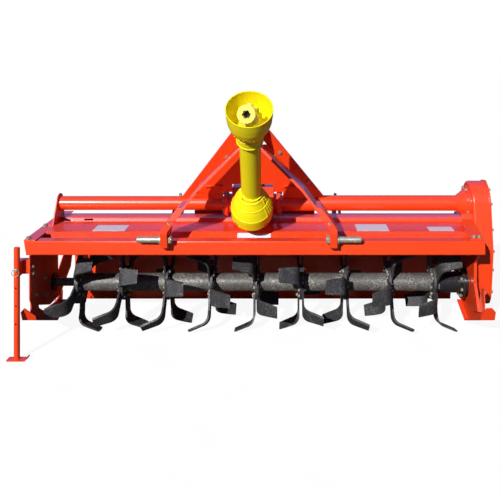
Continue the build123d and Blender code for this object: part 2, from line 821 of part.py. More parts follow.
with BuildPart() as stand_leg:
    with Locations((stand_x, stand_y, stand_foot_z)):
        Cylinder(
            stand_radius,
            stand_top_z - stand_foot_z,
            align=(Align.CENTER, Align.CENTER, Align.MIN),
        )
        Cylinder(
            stand_bore,
            3 * stand_top_z,
            mode=Mode.SUBTRACT,
        )
        Box(
            foot_width,
            foot_depth,
            foot_thick,
            align=(Align.CENTER, Align.CENTER, Align.MIN),
        )
    with BuildSketch(Plane.XZ.offset(-stand_y - foot_depth / 2)):
        with BuildLine():
            Polyline(
                (stand_x + foot_width / 2 - 12.0, stand_foot_z),
                (stand_x + foot_width / 2, stand_foot_z),
                (stand_x + foot_width / 2 + 12.0, stand_foot_z + 12.0),
                (stand_x + foot_width / 2 + 8.0, stand_foot_z + 16.0),
                (stand_x + foot_width / 2 - 2.0, stand_foot_z + foot_thick),
                close=True,
            )
        make_face()
    extrude(amount=foot_depth)
    for hole in range(stand_holes):
        with Locations((stand_x, stand_y, stand_hole_first + hole * stand_hole_pitch)):
            Cylinder(stand_hole_radius, 4 * stand_radius, rotation=(90, 0, 0), mode=Mode.SUBTRACT)
stand_leg.part.label = "stand_leg"
export_step(stand_leg.part, "parts/stand_leg.step")

stand_pin_head_radius = 6.5
stand_pin_head = 5.0

with BuildPart() as stand_pin:
    with Locations(Plane.XZ.offset(-stand_y)):
        with Locations((stand_x, stand_pin_z)):
            Cylinder(stand_hole_radius - running_gap, 2 * stand_radius - 2 * seat)
    with Locations(Plane.XZ.offset(-stand_y + stand_radius + seat)):
        with Locations((stand_x, stand_pin_z)):
            Cylinder(stand_pin_head_radius, stand_pin_head, align=(Align.CENTER, Align.CENTER, Align.MIN))
            Cylinder(stand_hole_radius - running_gap, 2 * seat + 1.0, align=(Align.CENTER, Align.CENTER, Align.MAX))
stand_pin.part.label = "stand_pin"
export_step(stand_pin.part, "parts/stand_pin.step")

# ---- rotor: tube, nine tine flanges, six curved tines a flange in a helix, drive hub ----
rotor_tube_radius = 44.0
flange_count = 9
flange_pitch = 224.0
rotor_middle_x = rotor_x + 9.0
rotor_left_x = rotor_middle_x - (flange_count - 1) / 2 * flange_pitch - 24.0
hub_left_x = rotor_middle_x + (flange_count - 1) / 2 * flange_pitch + 30.0
hub_radius = 52.0
hub_flange_radius = 80.0
hub_flange = 14.0
hub_right_x = right_inner_x - collar_face - 1.0
tine_flange_radius = 86.0
tine_flange = 12.0
tines_per_flange = 6
helix_step = -14.5
helix_start = 38.0
tine_thick = 9.0
tine_root = 46.0
tine_bend_radius = 52.0
tine_reach = 108.0
tine_rise = 22.0
tine_skew = 7.0
tine_foot_x = tine_flange / 2
tine_bend_end_x = tine_foot_x + tine_bend_radius * (1 - sin(radians(tine_rise)))
tine_tip_rise = (tine_reach - tine_bend_end_x) * sin(radians(tine_rise)) / cos(radians(tine_rise))
tine_bend_start = tip_radius - tine_tip_rise - tine_bend_radius * cos(radians(tine_rise))

# distance from the rotor axis, leading and trailing edge of the blade seen along the rotor
blade_root = (tine_root, -32.0, 32.0)
blade_waist = (tine_bend_start - 20.0, -36.0, 34.0)
blade_knee = (tine_bend_start + 34.0, -34.0, 46.0)
blade_tip = (tip_radius, -24.0, 34.0)

with BuildPart() as tine_right:
    with BuildSketch(Plane.XZ.offset(-120.0)):
        with BuildLine() as tine_line:
            Line((tine_foot_x, tine_root), (tine_foot_x, tine_bend_start))
            CenterArc(
                (tine_foot_x + tine_bend_radius, tine_bend_start),
                tine_bend_radius,
                180.0,
                tine_rise - 90.0,
            )
            Line(
                (tine_bend_end_x, tip_radius - tine_tip_rise),
                (tine_reach, tip_radius),
            )
            offset(tine_line.line, amount=tine_thick, side=Side.RIGHT)
        make_face()
    extrude(amount=240.0)
    with BuildSketch(Plane.YZ):
        with BuildLine():
            Line((blade_root[2], blade_root[0]), (blade_root[1], blade_root[0]))
            Line((blade_root[1], blade_root[0]), (blade_waist[1], blade_waist[0]))
            ThreePointArc(
                (blade_waist[1], blade_waist[0]),
                (blade_knee[1], blade_knee[0]),
                (blade_tip[1], blade_tip[0]),
            )
            Line((blade_tip[1], blade_tip[0]), (blade_tip[2], blade_tip[0]))
            ThreePointArc(
                (blade_tip[2], blade_tip[0]),
                (blade_knee[2], blade_knee[0]),
                (blade_waist[2], blade_waist[0]),
            )
            Line((blade_waist[2], blade_waist[0]), (blade_root[2], blade_root[0]))
        make_face()
    extrude(amount=tine_reach + 1.0, mode=Mode.INTERSECT)
    Cylinder(tip_radius, 3 * tine_reach, rotation=(0, 90, 0), mode=Mode.INTERSECT)

tine_left_part = mirror(tine_right.part, about=Plane.YZ)

with BuildPart() as rotor:
    with Locations(Plane.YZ.offset(rotor_left_x)):
        with Locations((rotor_y, rotor_z)):
            Cylinder(
                rotor_tube_radius,
                hub_left_x - rotor_left_x,
                align=(Align.CENTER, Align.CENTER, Align.MIN),
            )
    with Locations(Plane.YZ.offset(left_outer_x)):
        with Locations((rotor_y, rotor_z)):
            Cylinder(
                shaft_radius - running_gap,
                hub_left_x - left_outer_x,
                align=(Align.CENTER, Align.CENTER, Align.MIN),
            )
    with Locations(Plane.YZ.offset(hub_left_x)):
        with Locations((rotor_y, rotor_z)):
            Cylinder(
                hub_radius,
                hub_right_x - hub_left_x,
                align=(Align.CENTER, Align.CENTER, Align.MIN),
            )
            Cylinder(
                shaft_radius - running_gap,
                case_inner_x - hub_left_x - 2.0,
                align=(Align.CENTER, Align.CENTER, Align.MIN),
            )
    with Locations(Plane.YZ.offset(hub_right_x)):
        with Locations((rotor_y, rotor_z)):
            Cylinder(
                hub_flange_radius,
                hub_flange,
                align=(Align.CENTER, Align.CENTER, Align.MAX),
            )
    for station in range(flange_count):
        station_x = rotor_middle_x + (station - (flange_count - 1) / 2) * flange_pitch
        with Locations(Plane.YZ.offset(station_x)):
            with Locations((rotor_y, rotor_z)):
                Cylinder(tine_flange_radius, tine_flange)
        for tine in range(tines_per_flange):
            tine_part = tine_left_part if tine % 2 else tine_right.part
            tine_turn = 90.0 - helix_start - station * helix_step + tine * 360.0 / tines_per_flange
            with Locations(Location((station_x, rotor_y, rotor_z), (tine_turn, 0, 0))):
                add(tine_part)
rotor.part.label = "rotor"
export_step(rotor.part, "parts/rotor.step")

# ---- tailboard hung on a hinge rod along the hood's rear edge ----
hinge_rod_radius = 6.0
knuckle_radius = 11.0
knuckle_length = 60.0
tail_left_x = left_outer_x + 2.0
tail_right_x = right_outer_x - 2.0
tail_line = (
    # y, z
    (hood_hinge_y + 6.0, hood_hinge_z - 14.0),
    (rotor_y + 352.0, rotor_z + 11.0),
    (rotor_y + 350.0, rotor_z - 141.0),
    (rotor_y + 376.0, rotor_z - 227.0),
)
lug_offsets = (-960.0, -480.0, 0.0, 480.0, 960.0)

with BuildPart() as tail_hinge:
    with Locations(Plane.YZ.offset(tail_left_x + 20.0)):
        with Locations((hood_hinge_y, hood_hinge_z)):
            Cylinder(
                hinge_rod_radius,
                tail_right_x - tail_left_x - 40.0,
                align=(Align.CENTER, Align.CENTER, Align.MIN),
            )
    for lug_offset in lug_offsets:
        with BuildSketch(Plane.YZ.offset(rotor_x + 22.0 + lug_offset)):
            with Locations((hood_hinge_y, hood_hinge_z)):
                Circle(knuckle_radius)
            with BuildLine():
                Polyline(
                    (hood_hinge_y, hood_hinge_z - knuckle_radius + 1.0),
                    (hood_hinge_y, hood_hinge_z + knuckle_radius),
                    (rotor_y + 282.0, rotor_z + 201.0),
                    (rotor_y + 262.0, rotor_z + 229.0),
                    (rotor_y + 259.0, rotor_z + 223.0),
                    (rotor_y + 298.0, rotor_z + 170.0),
                    close=True,
                )
            make_face()
        extrude(amount=10.0)
    with BuildSketch(Plane.YZ.offset(deck_left_x)):
        with BuildLine() as hood_clear:
            Polyline(*hood_line)
            offset(hood_clear.line, amount=sheet, side=Side.RIGHT)
        make_face()
        offset(amount=seat)
    extrude(amount=deck_right_x - deck_left_x, mode=Mode.SUBTRACT)
tail_hinge.part.label = "tail_hinge"
export_step(tail_hinge.part, "parts/tail_hinge.step")

rod_half = 430.0
rod_radius = 8.0
rod_lug_y = rotor_y + 414.0
rod_lug_z = rotor_z - 55.0
rod_guide_y = rotor_y + 326.0
rod_guide_z = rotor_z + 315.0

with BuildPart() as tailboard:
    with BuildSketch(Plane.YZ.offset(tail_left_x)):
        with BuildLine() as tail_edge:
            Polyline(*tail_line)
            offset(tail_edge.line, amount=sheet, side=Side.LEFT)
        make_face()
    extrude(amount=tail_right_x - tail_left_x)
    for knuckle_x in (-720.0, -240.0, 240.0, 720.0):
        with Locations(Plane.YZ.offset(rotor_x + 27.0 + knuckle_x)):
            with Locations((hood_hinge_y, hood_hinge_z)):
                Cylinder(knuckle_radius, knuckle_length)
            with Locations((hood_hinge_y + 6.0, hood_hinge_z - 12.0)):
                Box(sheet + 2.0, 20.0, knuckle_length)
            with Locations((hood_hinge_y, hood_hinge_z)):
                Cylinder(hinge_rod_radius + running_gap, knuckle_length, mode=Mode.SUBTRACT)
    for lug_side in (-1, 1):
        for lug_gap in (-15.0, 9.0):
            with BuildSketch(Plane.YZ.offset(rotor_x + lug_side * rod_half + lug_gap)):
                with BuildLine():
                    Polyline(
                        (rotor_y + 355.0, rod_lug_z - 40.0),
                        (rod_lug_y + 4.0, rod_lug_z - 14.0),
                        (rod_lug_y + 14.0, rod_lug_z),
                        (rod_lug_y + 4.0, rod_lug_z + 14.0),
                        (rotor_y + 355.0, rod_lug_z + 40.0),
                        close=True,
                    )
                make_face()
                with Locations((rod_lug_y, rod_lug_z)):
                    Circle(5.0, mode=Mode.SUBTRACT)
            extrude(amount=6.0)
tailboard.part.label = "tailboard"
export_step(tailboard.part, "parts/tailboard.step")

rod_start = Vector(0, rod_lug_y, rod_lug_z)
rod_end = Vector(0, rod_guide_y, rod_guide_z)
rod_run = (rod_end - rod_start).normalized()
rod_length = (rod_end - rod_start).length + 70.0
spring_radius = 17.0

for rod_name, rod_side in (("spring_rod_left", -1), ("spring_rod_right", 1)):
    rod_x = rotor_x + rod_side * rod_half
    with BuildPart() as spring_rod:
        with Locations(Plane(origin=(rod_x, rod_lug_y, rod_lug_z), x_dir=(1, 0, 0), z_dir=rod_run)):
            Cylinder(rod_radius, rod_length, align=(Align.CENTER, Align.CENTER, Align.MIN))
            with Locations((0, 0, 70.0)):
                Cylinder(spring_radius, 200.0, align=(Align.CENTER, Align.CENTER, Align.MIN))
            with Locations((0, 0, 62.0)):
                Cylinder(
                    spring_radius + 3.0,
                    8.0,
                    align=(Align.CENTER, Align.CENTER, Align.MIN),
                )
        with Locations(Plane.YZ.offset(rod_x)):
            with Locations((rod_lug_y, rod_lug_z)):
                Cylinder(10.0, 17.0)
                Cylinder(5.0 - running_gap, 38.0)
    spring_rod.part.label = rod_name
    export_step(spring_rod.part, "parts/" + rod_name + ".step")

guide_gap = 15.0
guide_thick = 6.0

with BuildPart() as rod_guides:
    for guide_side in (-1, 1):
        for guide_x in (-guide_gap - guide_thick, guide_gap):
            with BuildSketch(Plane.YZ.offset(rotor_x + guide_side * rod_half + guide_x)):
                with BuildLine():
                    Polyline(
                        (rotor_y + 150.0, ridge_top_z - 12.0),
                        (rotor_y + 200.0, ridge_top_z + 6.0),
                        (rod_guide_y + 26.0, rod_guide_z + 14.0),
                        (rod_guide_y + 26.0, rod_guide_z - 14.0),
                        (rotor_y + 228.0, rotor_z + 268.0),
                        close=True,
                    )
                make_face()
            extrude(amount=guide_thick)
        with Locations(Plane.YZ.offset(rotor_x + guide_side * rod_half)):
            with Locations((rod_guide_y - 19.0, rod_guide_z), (rod_guide_y + 19.0, rod_guide_z)):
                Cylinder(4.0, 2 * guide_gap + 2.0)
    with BuildSketch(Plane.YZ.offset(deck_left_x)):
        with BuildLine() as guide_clear:
            Polyline(*hood_line)
            offset(guide_clear.line, amount=sheet, side=Side.RIGHT)
        make_face()
        offset(amount=seat)
    extrude(amount=deck_right_x - deck_left_x, mode=Mode.SUBTRACT)
rod_guides.part.label = "rod_guides"
export_step(rod_guides.part, "parts/rod_guides.step")

# ---- cardan shaft: place of both crosses and the shaft's own direction ----
shaft_lift = 46.0
shaft_lean = 1.4
yoke_droop = 46.0
yoke_turn = -10.0
lower_cross_y = rotor_y - 228.0
cross_span = 738.0
input_pin_dir = Vector(1, 0, 0)
upright_dir = Vector(0, -cos(radians(shaft_lift)), sin(radians(shaft_lift)))
shaft_dir = upright_dir * cos(radians(shaft_lean)) + input_pin_dir * sin(radians(shaft_lean))
shaft_x_dir = input_pin_dir * cos(radians(shaft_lean)) - upright_dir * sin(radians(shaft_lean))
shaft_y_dir = shaft_dir.cross(shaft_x_dir)
lower_cross = Vector(drive_x, lower_cross_y, input_z)
upper_cross = lower_cross + shaft_dir * cross_span
turned_dir = shaft_dir * cos(radians(yoke_turn)) + shaft_x_dir * sin(radians(yoke_turn))
upper_pin_dir = shaft_x_dir * cos(radians(yoke_turn)) - shaft_dir * sin(radians(yoke_turn))
yoke_dir = turned_dir * cos(radians(yoke_droop)) - shaft_y_dir * sin(radians(yoke_droop))
shaft_plane = Plane(origin=lower_cross, x_dir=shaft_x_dir, z_dir=shaft_dir)

# ---- cardan yokes: two eared forks on each cross, hub behind the ears ----
fork_ear_inner = 26.0
fork_ear_thick = 11.0
fork_ear_radius = 16.0
fork_base = 54.0
fork_base_thick = 11.0
trunnion_radius = 9.0
yoke_hub_radius = 33.0
lower_fork_hub = 60.0
input_hub = lower_cross_y - nose_front_y

fork_table = (
    # name, cross, ear direction, hub direction, hub length
    ("pto_input_yoke", lower_cross, input_pin_dir, Vector(0, 1, 0), -input_hub - fork_base - seat),
    ("pto_lower_fork", lower_cross, shaft_y_dir, shaft_dir, lower_fork_hub),
    ("pto_upper_fork", upper_cross, shaft_y_dir, shaft_dir * -1, lower_fork_hub),
)

for fork_name, fork_cross, ear_dir, hub_dir, hub_length in fork_table:
    fork_plane = Plane(origin=fork_cross, x_dir=ear_dir, z_dir=hub_dir)
    with BuildPart() as fork:
        for ear_side in (-1, 1):
            with Locations(fork_plane):
                with Locations((ear_side * (fork_ear_inner + fork_ear_thick / 2), 0, 0)):
                    Cylinder(fork_ear_radius, fork_ear_thick, rotation=(0, 90, 0))
                    Box(
                        fork_ear_thick,
                        2 * fork_ear_radius,
                        fork_base,
                        align=(Align.CENTER, Align.CENTER, Align.MIN),
                    )
        with Locations(fork_plane.offset(fork_base - fork_base_thick)):
            Cylinder(
                fork_ear_inner + fork_ear_thick,
                fork_base_thick,
                align=(Align.CENTER, Align.CENTER, Align.MIN),
            )
            Cylinder(
                yoke_hub_radius,
                hub_length + fork_base_thick,
                align=(Align.CENTER, Align.CENTER, Align.MIN),
            )
        with Locations(fork_plane):
            Cylinder(trunnion_radius + running_gap, 120.0, rotation=(0, 90, 0), mode=Mode.SUBTRACT)
    fork.part.label = fork_name
    export_step(fork.part, "parts/" + fork_name + ".step")

cross_body_radius = 15.0
cross_reach = fork_ear_inner + fork_ear_thick + 1.0

cross_table = (
    # name, centre, first pin direction, second pin direction
    ("pto_lower_cross", lower_cross, input_pin_dir, shaft_y_dir),
    ("pto_upper_cross", upper_cross, upper_pin_dir, shaft_y_dir),
)

for cross_name, cross_centre, first_dir, second_dir in cross_table:
    with BuildPart() as cross:
        with Locations(Plane(origin=cross_centre, x_dir=second_dir, z_dir=first_dir)):
            Cylinder(trunnion_radius, 2 * cross_reach)
            Cylinder(cross_body_radius, 2 * fork_ear_inner - 12.0)
        with Locations(Plane(origin=cross_centre, x_dir=first_dir, z_dir=second_dir)):
            Cylinder(trunnion_radius, 2 * cross_reach)
            Cylinder(cross_body_radius, 2 * fork_ear_inner - 12.0)
    cross.part.label = cross_name
    export_step(cross.part, "parts/" + cross_name + ".step")

# ---- tractor-side yoke with its six-spline hub ----
spline_minor_radius = 15.0
spline_major_radius = 17.4
spline_width = 8.6
splines = 6
splined_hub_length = 74.0
splined_hub_radius = 35.5
groove_depth = 3.0
tractor_plane = Plane(origin=upper_cross, x_dir=upper_pin_dir, z_dir=yoke_dir)

with BuildPart() as pto_tractor_yoke:
    for ear_side in (-1, 1):
        with Locations(tractor_plane):
            with Locations((ear_side * (fork_ear_inner + fork_ear_thick / 2), 0, 0)):
                Cylinder(fork_ear_radius, fork_ear_thick, rotation=(0, 90, 0))
                Box(
                    fork_ear_thick,
                    2 * fork_ear_radius,
                    fork_base,
                    align=(Align.CENTER, Align.CENTER, Align.MIN),
                )
    with Locations(tractor_plane.offset(fork_base - fork_base_thick)):
        Cylinder(
            fork_ear_inner + fork_ear_thick,
            fork_base_thick,
            align=(Align.CENTER, Align.CENTER, Align.MIN),
        )
        Cylinder(
            splined_hub_radius,
            splined_hub_length - fork_base + fork_base_thick,
            align=(Align.CENTER, Align.CENTER, Align.MIN),
        )
    with BuildSketch(tractor_plane.offset(fork_base - fork_base_thick - 1.0)):
        Circle(spline_minor_radius)
        with PolarLocations(spline_minor_radius, splines):
            Rectangle(2 * (spline_major_radius - spline_minor_radius), spline_width)
    extrude(amount=splined_hub_length, mode=Mode.SUBTRACT)
    with Locations(tractor_plane):
        Cylinder(trunnion_radius + running_gap, 120.0, rotation=(0, 90, 0), mode=Mode.SUBTRACT)
pto_tractor_yoke.part.label = "pto_tractor_yoke"
export_step(pto_tractor_yoke.part, "parts/pto_tractor_yoke.step")

# ---- shaft guard: narrow tube sliding in the wide one, and a bell at each end ----
inner_guard_radius = 41.0
outer_guard_radius = 46.0
inner_guard_start = 100.0
inner_guard_end = cross_span - 195.0
outer_guard_start = 190.0
outer_guard_end = cross_span - 75.0
guard_ring_length = 36.0

with BuildPart() as pto_inner_guard:
    with Locations(shaft_plane.offset(inner_guard_start)):
        Cylinder(
            inner_guard_radius,
            inner_guard_end - inner_guard_start,
            align=(Align.CENTER, Align.CENTER, Align.MIN),
        )
        Cylinder(
            yoke_hub_radius + seat,
            3 * inner_guard_end,
            mode=Mode.SUBTRACT,
        )
pto_inner_guard.part.label = "pto_inner_guard"
export_step(pto_inner_guard.part, "parts/pto_inner_guard.step")

with BuildPart() as pto_outer_guard:
    with Locations(shaft_plane.offset(outer_guard_start)):
        Cylinder(
            outer_guard_radius,
            outer_guard_end - outer_guard_start,
            align=(Align.CENTER, Align.CENTER, Align.MIN),
        )
        Cylinder(
            inner_guard_radius + seat,
            3 * outer_guard_end,
            mode=Mode.SUBTRACT,
        )
    with Locations(shaft_plane.offset(outer_guard_end)):
        Cylinder(
            outer_guard_radius,
            guard_ring_length,
            align=(Align.CENTER, Align.CENTER, Align.MAX),
        )
        Cylinder(
            yoke_hub_radius + seat,
            3 * guard_ring_length,
            mode=Mode.SUBTRACT,
        )
pto_outer_guard.part.label = "pto_outer_guard"
export_step(pto_outer_guard.part, "parts/pto_outer_guard.step")

lower_neck = 150.0
upper_neck = cross_span - 177.0
lower_bell_line = (
    # radius, distance from the lower cross
    (inner_guard_radius + seat, lower_neck + 26.0),
    (52.0, lower_neck + 26.0),
    (53.0, lower_neck + 14.0),
    (58.0, lower_neck + 8.0),
    (63.0, lower_neck - 4.0),
    (72.0, lower_neck - 22.0),
    (75.0, lower_neck - 30.0),
    (84.0, lower_neck - 50.0),
    (96.0, lower_neck - 84.0),
    (98.0, lower_neck - 92.0),
    (98.0, lower_neck - 148.0),
    (94.0, lower_neck - 148.0),
    (94.0, lower_neck - 94.0),
    (92.0, lower_neck - 88.0),
    (80.0, lower_neck - 53.0),
    (68.0, lower_neck - 26.0),
    (59.0, lower_neck - 8.0),
    (inner_guard_radius + seat, lower_neck),
)
upper_bell_line = (
    # radius, distance from the lower cross
    (outer_guard_radius + seat, upper_neck),
    (55.0, upper_neck),
    (57.0, upper_neck + 44.0),
    (61.0, upper_neck + 61.0),
    (72.0, upper_neck + 79.0),
    (85.0, upper_neck + 101.0),
    (92.0, upper_neck + 129.0),
    (95.5, upper_neck + 164.0),
    (97.0, upper_neck + 200.0),
    (93.5, upper_neck + 200.0),
    (92.0, upper_neck + 165.0),
    (88.5, upper_neck + 131.0),
    (81.5, upper_neck + 104.0),
    (69.0, upper_neck + 83.0),
    (outer_guard_radius + seat, upper_neck + 70.0),
)

for bell_name, bell_line in (("pto_lower_bell", lower_bell_line), ("pto_upper_bell", upper_bell_line)):
    with BuildPart() as bell:
        with BuildSketch(Plane(origin=lower_cross, x_dir=shaft_x_dir, z_dir=shaft_y_dir * -1)):
            with BuildLine():
                Polyline(*bell_line, close=True)
            make_face()
        revolve(axis=Axis(lower_cross, shaft_dir), revolution_arc=360.0)
    bell.part.label = bell_name
    export_step(bell.part, "parts/" + bell_name + ".step")
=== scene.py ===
import math

import bpy
from mathutils import Matrix, Vector


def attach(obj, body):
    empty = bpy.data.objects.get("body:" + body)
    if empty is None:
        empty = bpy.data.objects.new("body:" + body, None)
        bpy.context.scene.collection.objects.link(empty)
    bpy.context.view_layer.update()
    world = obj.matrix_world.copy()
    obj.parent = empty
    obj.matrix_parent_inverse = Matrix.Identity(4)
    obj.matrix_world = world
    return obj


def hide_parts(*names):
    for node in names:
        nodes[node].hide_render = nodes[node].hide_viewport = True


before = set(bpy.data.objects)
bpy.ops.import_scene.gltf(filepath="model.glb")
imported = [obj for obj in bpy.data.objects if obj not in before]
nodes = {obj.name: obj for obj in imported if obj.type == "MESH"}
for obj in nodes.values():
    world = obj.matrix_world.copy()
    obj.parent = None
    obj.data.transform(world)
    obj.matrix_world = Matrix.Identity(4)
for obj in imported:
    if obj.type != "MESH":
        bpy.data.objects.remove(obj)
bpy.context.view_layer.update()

# ---------------------------------------------------------------- front beam
# Welded box section that carries the whole machine, cut from mild steel tube
# and sprayed with the same gloss red-orange paint as every other plate.

rotor_x, rotor_y, rotor_z = -0.037, 0.199, 0.237
hitch_x = rotor_x - 0.009
beam_front_y = rotor_y - 0.324
beam_top_z = rotor_z + 0.301

PAINT_RED = (0.80, 0.052, 0.006, 1)
PAINT_DEEP = (0.64, 0.034, 0.004, 1)
DUST = (0.42, 0.30, 0.20, 1)


def group_tree(name, inputs, outputs):
    """A shader node group with its sockets; returns the tree with its two end nodes."""
    tree = bpy.data.node_groups.new(name, "ShaderNodeTree")
    for label, kind, value in inputs:
        socket = tree.interface.new_socket(label, in_out="INPUT", socket_type=kind)
        socket.default_value = value
    for label, kind in outputs:
        tree.interface.new_socket(label, in_out="OUTPUT", socket_type=kind)
    return tree, tree.nodes.new("NodeGroupInput"), tree.nodes.new("NodeGroupOutput")


def noise(tree, vector, scale, detail, rough):
    node = tree.nodes.new("ShaderNodeTexNoise")
    node.inputs["Detail"].default_value = detail
    node.inputs["Roughness"].default_value = rough
    tree.links.new(vector, node.inputs["Vector"])
    if isinstance(scale, (int, float)):
        node.inputs["Scale"].default_value = scale
    else:
        tree.links.new(scale, node.inputs["Scale"])
    return node.outputs["Fac"]


def remap(tree, value, low, high, out_low=0.0, out_high=1.0):
    node = tree.nodes.new("ShaderNodeMapRange")
    node.inputs["From Min"].default_value = low
    node.inputs["From Max"].default_value = high
    node.inputs["To Min"].default_value = out_low
    node.inputs["To Max"].default_value = out_high
    tree.links.new(value, node.inputs["Value"])
    return node.outputs["Result"]


def mix(tree, factor, first, second):
    node = tree.nodes.new("ShaderNodeMix")
    node.data_type = "RGBA"
    for value, socket in ((factor, node.inputs[0]), (first, node.inputs[6]), (second, node.inputs[7])):
        if isinstance(value, bpy.types.NodeSocket):
            tree.links.new(value, socket)
        else:
            socket.default_value = value
    return node.outputs[2]


def math_node(tree, operation, first, second):
    node = tree.nodes.new("ShaderNodeMath")
    node.operation = operation
    for value, socket in ((first, node.inputs[0]), (second, node.inputs[1])):
        if isinstance(value, bpy.types.NodeSocket):
            tree.links.new(value, socket)
        else:
            socket.default_value = value
    return node.outputs[0]


# surface life of painted and moulded pieces: cloudy colour, dust on upward faces, orange peel
finish_tree, finish_in, finish_out = group_tree(
    "sprayed_finish",
    (
        ("Colour", "NodeSocketColor", PAINT_RED),
        ("Shade", "NodeSocketColor", PAINT_DEEP),
        ("Dust", "NodeSocketColor", DUST),
        ("Dust Amount", "NodeSocketFloat", 0.2),
        ("Roughness", "NodeSocketFloat", 0.3),
        ("Peel", "NodeSocketFloat", 0.06),
    ),
    (("Colour", "NodeSocketColor"), ("Roughness", "NodeSocketFloat"), ("Normal", "NodeSocketVector")),
)
place = finish_tree.nodes.new("ShaderNodeTexCoord").outputs["Object"]
facing = finish_tree.nodes.new("ShaderNodeNewGeometry")
up_axis = finish_tree.nodes.new("ShaderNodeSeparateXYZ")
finish_tree.links.new(facing.outputs["Normal"], up_axis.inputs[0])
clouds = remap(finish_tree, noise(finish_tree, place, 5.0, 4, 0.6), 0.35, 0.7)
specks = remap(finish_tree, noise(finish_tree, place, 60.0, 5, 0.7), 0.5, 0.72)
upward = remap(finish_tree, up_axis.outputs["Z"], 0.3, 1.0)
resting = math_node(finish_tree, "MULTIPLY", upward, specks)
settled = math_node(finish_tree, "MULTIPLY", resting, finish_in.outputs["Dust Amount"])
cloudiness = math_node(finish_tree, "MULTIPLY", clouds, 0.35)
toned = mix(finish_tree, cloudiness, finish_in.outputs["Colour"], finish_in.outputs["Shade"])
dusty = mix(finish_tree, settled, toned, finish_in.outputs["Dust"])
finish_tree.links.new(dusty, finish_out.inputs["Colour"])
rough_add = math_node(finish_tree, "MULTIPLY", specks, 0.12)
rough_extra = math_node(finish_tree, "ADD", rough_add, settled)
rough_sum = math_node(finish_tree, "ADD", finish_in.outputs["Roughness"], rough_extra)
finish_tree.links.new(rough_sum, finish_out.inputs["Roughness"])
peel = finish_tree.nodes.new("ShaderNodeBump")
peel.inputs["Distance"].default_value = 0.002
finish_tree.links.new(finish_in.outputs["Peel"], peel.inputs["Strength"])
finish_tree.links.new(noise(finish_tree, place, 90.0, 2, 0.5), peel.inputs["Height"])
finish_tree.links.new(peel.outputs["Normal"], finish_out.inputs["Normal"])


def material(name, tree, settings, metallic=0.0, coat=0.0, coat_rough=0.1, specular=0.5):
    """A Principled material fed by one effect group with its own values."""
    mat = bpy.data.materials.new(name)
    mat.use_nodes = True
    nt = mat.node_tree
    shader = nt.nodes["Principled BSDF"]
    shader.inputs["Metallic"].default_value = metallic
    shader.inputs["Coat Weight"].default_value = coat
    shader.inputs["Coat Roughness"].default_value = coat_rough
    shader.inputs["Specular IOR Level"].default_value = specular
    effect = nt.nodes.new("ShaderNodeGroup")
    effect.node_tree = tree
    for key, value in settings.items():
        effect.inputs[key].default_value = value
    nt.links.new(effect.outputs["Colour"], shader.inputs["Base Color"])
    nt.links.new(effect.outputs["Roughness"], shader.inputs["Roughness"])
    nt.links.new(effect.outputs["Normal"], shader.inputs["Normal"])
    return mat


def wear(obj, *mats):
    obj.data.materials.clear()
    for mat in mats:
        obj.data.materials.append(mat)


def soften(obj, width):
    """Breaks the sharp edges of a cut plate so that they catch the light."""
    weld = obj.modifiers.new("closed_corners", "WELD")
    weld.merge_threshold = 0.00002
    bevel = obj.modifiers.new("broken_edges", "BEVEL")
    bevel.width = width
    bevel.segments = 2
    bevel.limit_method = "ANGLE"
    bevel.angle_limit = math.radians(35)
    bevel.harden_normals = True


red_paint = material(
    "red_paint",
    finish_tree,
    {
        "Colour": PAINT_RED,
        "Shade": PAINT_DEEP,
        "Dust": DUST,
        "Dust Amount": 0.12,
        "Roughness": 0.36,
        "Peel": 0.05,
    },
    coat=0.35,
    coat_rough=0.2,
)
wear(nodes["front_beam"], red_paint)
soften(nodes["front_beam"], 0.0015)

# ---------------------------------------------------------------- hood
# One sheet folded over the rotor, welded between the side plates; four blank
# film labels are stuck on its deck and on the lip behind the beam.

wear(nodes["hood_deck"], red_paint)
soften(nodes["hood_deck"], 0.0012)
deck_z = rotor_z + 0.309
lip_slant = math.atan2(0.034, 0.038)


def merged(objects, name):
    """Joins loose pieces into one object whose place is in its mesh."""
    bpy.ops.object.select_all(action="DESELECT")
    for item in objects:
        item.select_set(True)
    bpy.context.view_layer.objects.active = objects[0]
    if len(objects) > 1:
        bpy.ops.object.join()
    bpy.ops.object.transform_apply(location=True, rotation=True, scale=True)
    objects[0].name = name
    objects[0].data.name = name
    return objects[0]


def block(size, centre, matrix, edge):
    """A box with broken edges, sized and centred in the frame that matrix describes."""
    bpy.ops.object.select_all(action="DESELECT")
    bpy.ops.mesh.primitive_cube_add(size=1.0)
    piece = bpy.context.object
    piece.data.transform(Matrix.Diagonal((size[0], size[1], size[2], 1.0)))
    bpy.ops.object.mode_set(mode="EDIT")
    bpy.ops.mesh.select_all(action="SELECT")
    bpy.ops.mesh.bevel(offset=edge, segments=2)
    bpy.ops.object.mode_set(mode="OBJECT")
    piece.data.transform(matrix @ Matrix.Translation(centre))
    return piece


label_film = material(
    "label_film",
    finish_tree,
    {
        "Colour": (0.62, 0.68, 0.84, 1),
        "Shade": (0.52, 0.58, 0.74, 1),
        "Dust": DUST,
        "Dust Amount": 0.05,
        "Roughness": 0.42,
        "Peel": 0.01,
    },
)
film_thick, film_edge = 0.001, 0.0003
labels = []
for low_x, high_x, low_y, high_y in (
    # along the machine, then across it, from the rotor's middle
    (-0.780, -0.623, -0.180, -0.078),
    (0.504, 0.661, -0.180, -0.060),
    (0.856, 0.976, -0.178, -0.107),
):
    centre = (rotor_x + (low_x + high_x) / 2, rotor_y + (low_y + high_y) / 2, deck_z + film_thick / 2)
    size = (high_x - low_x, high_y - low_y, film_thick)
    labels.append(block(size, centre, Matrix.Identity(4), film_edge))
lip_middle = Matrix.Translation((rotor_x + 0.006, rotor_y - 0.209, rotor_z + 0.292))
lip_frame = lip_middle @ Matrix.Rotation(lip_slant, 4, "X")
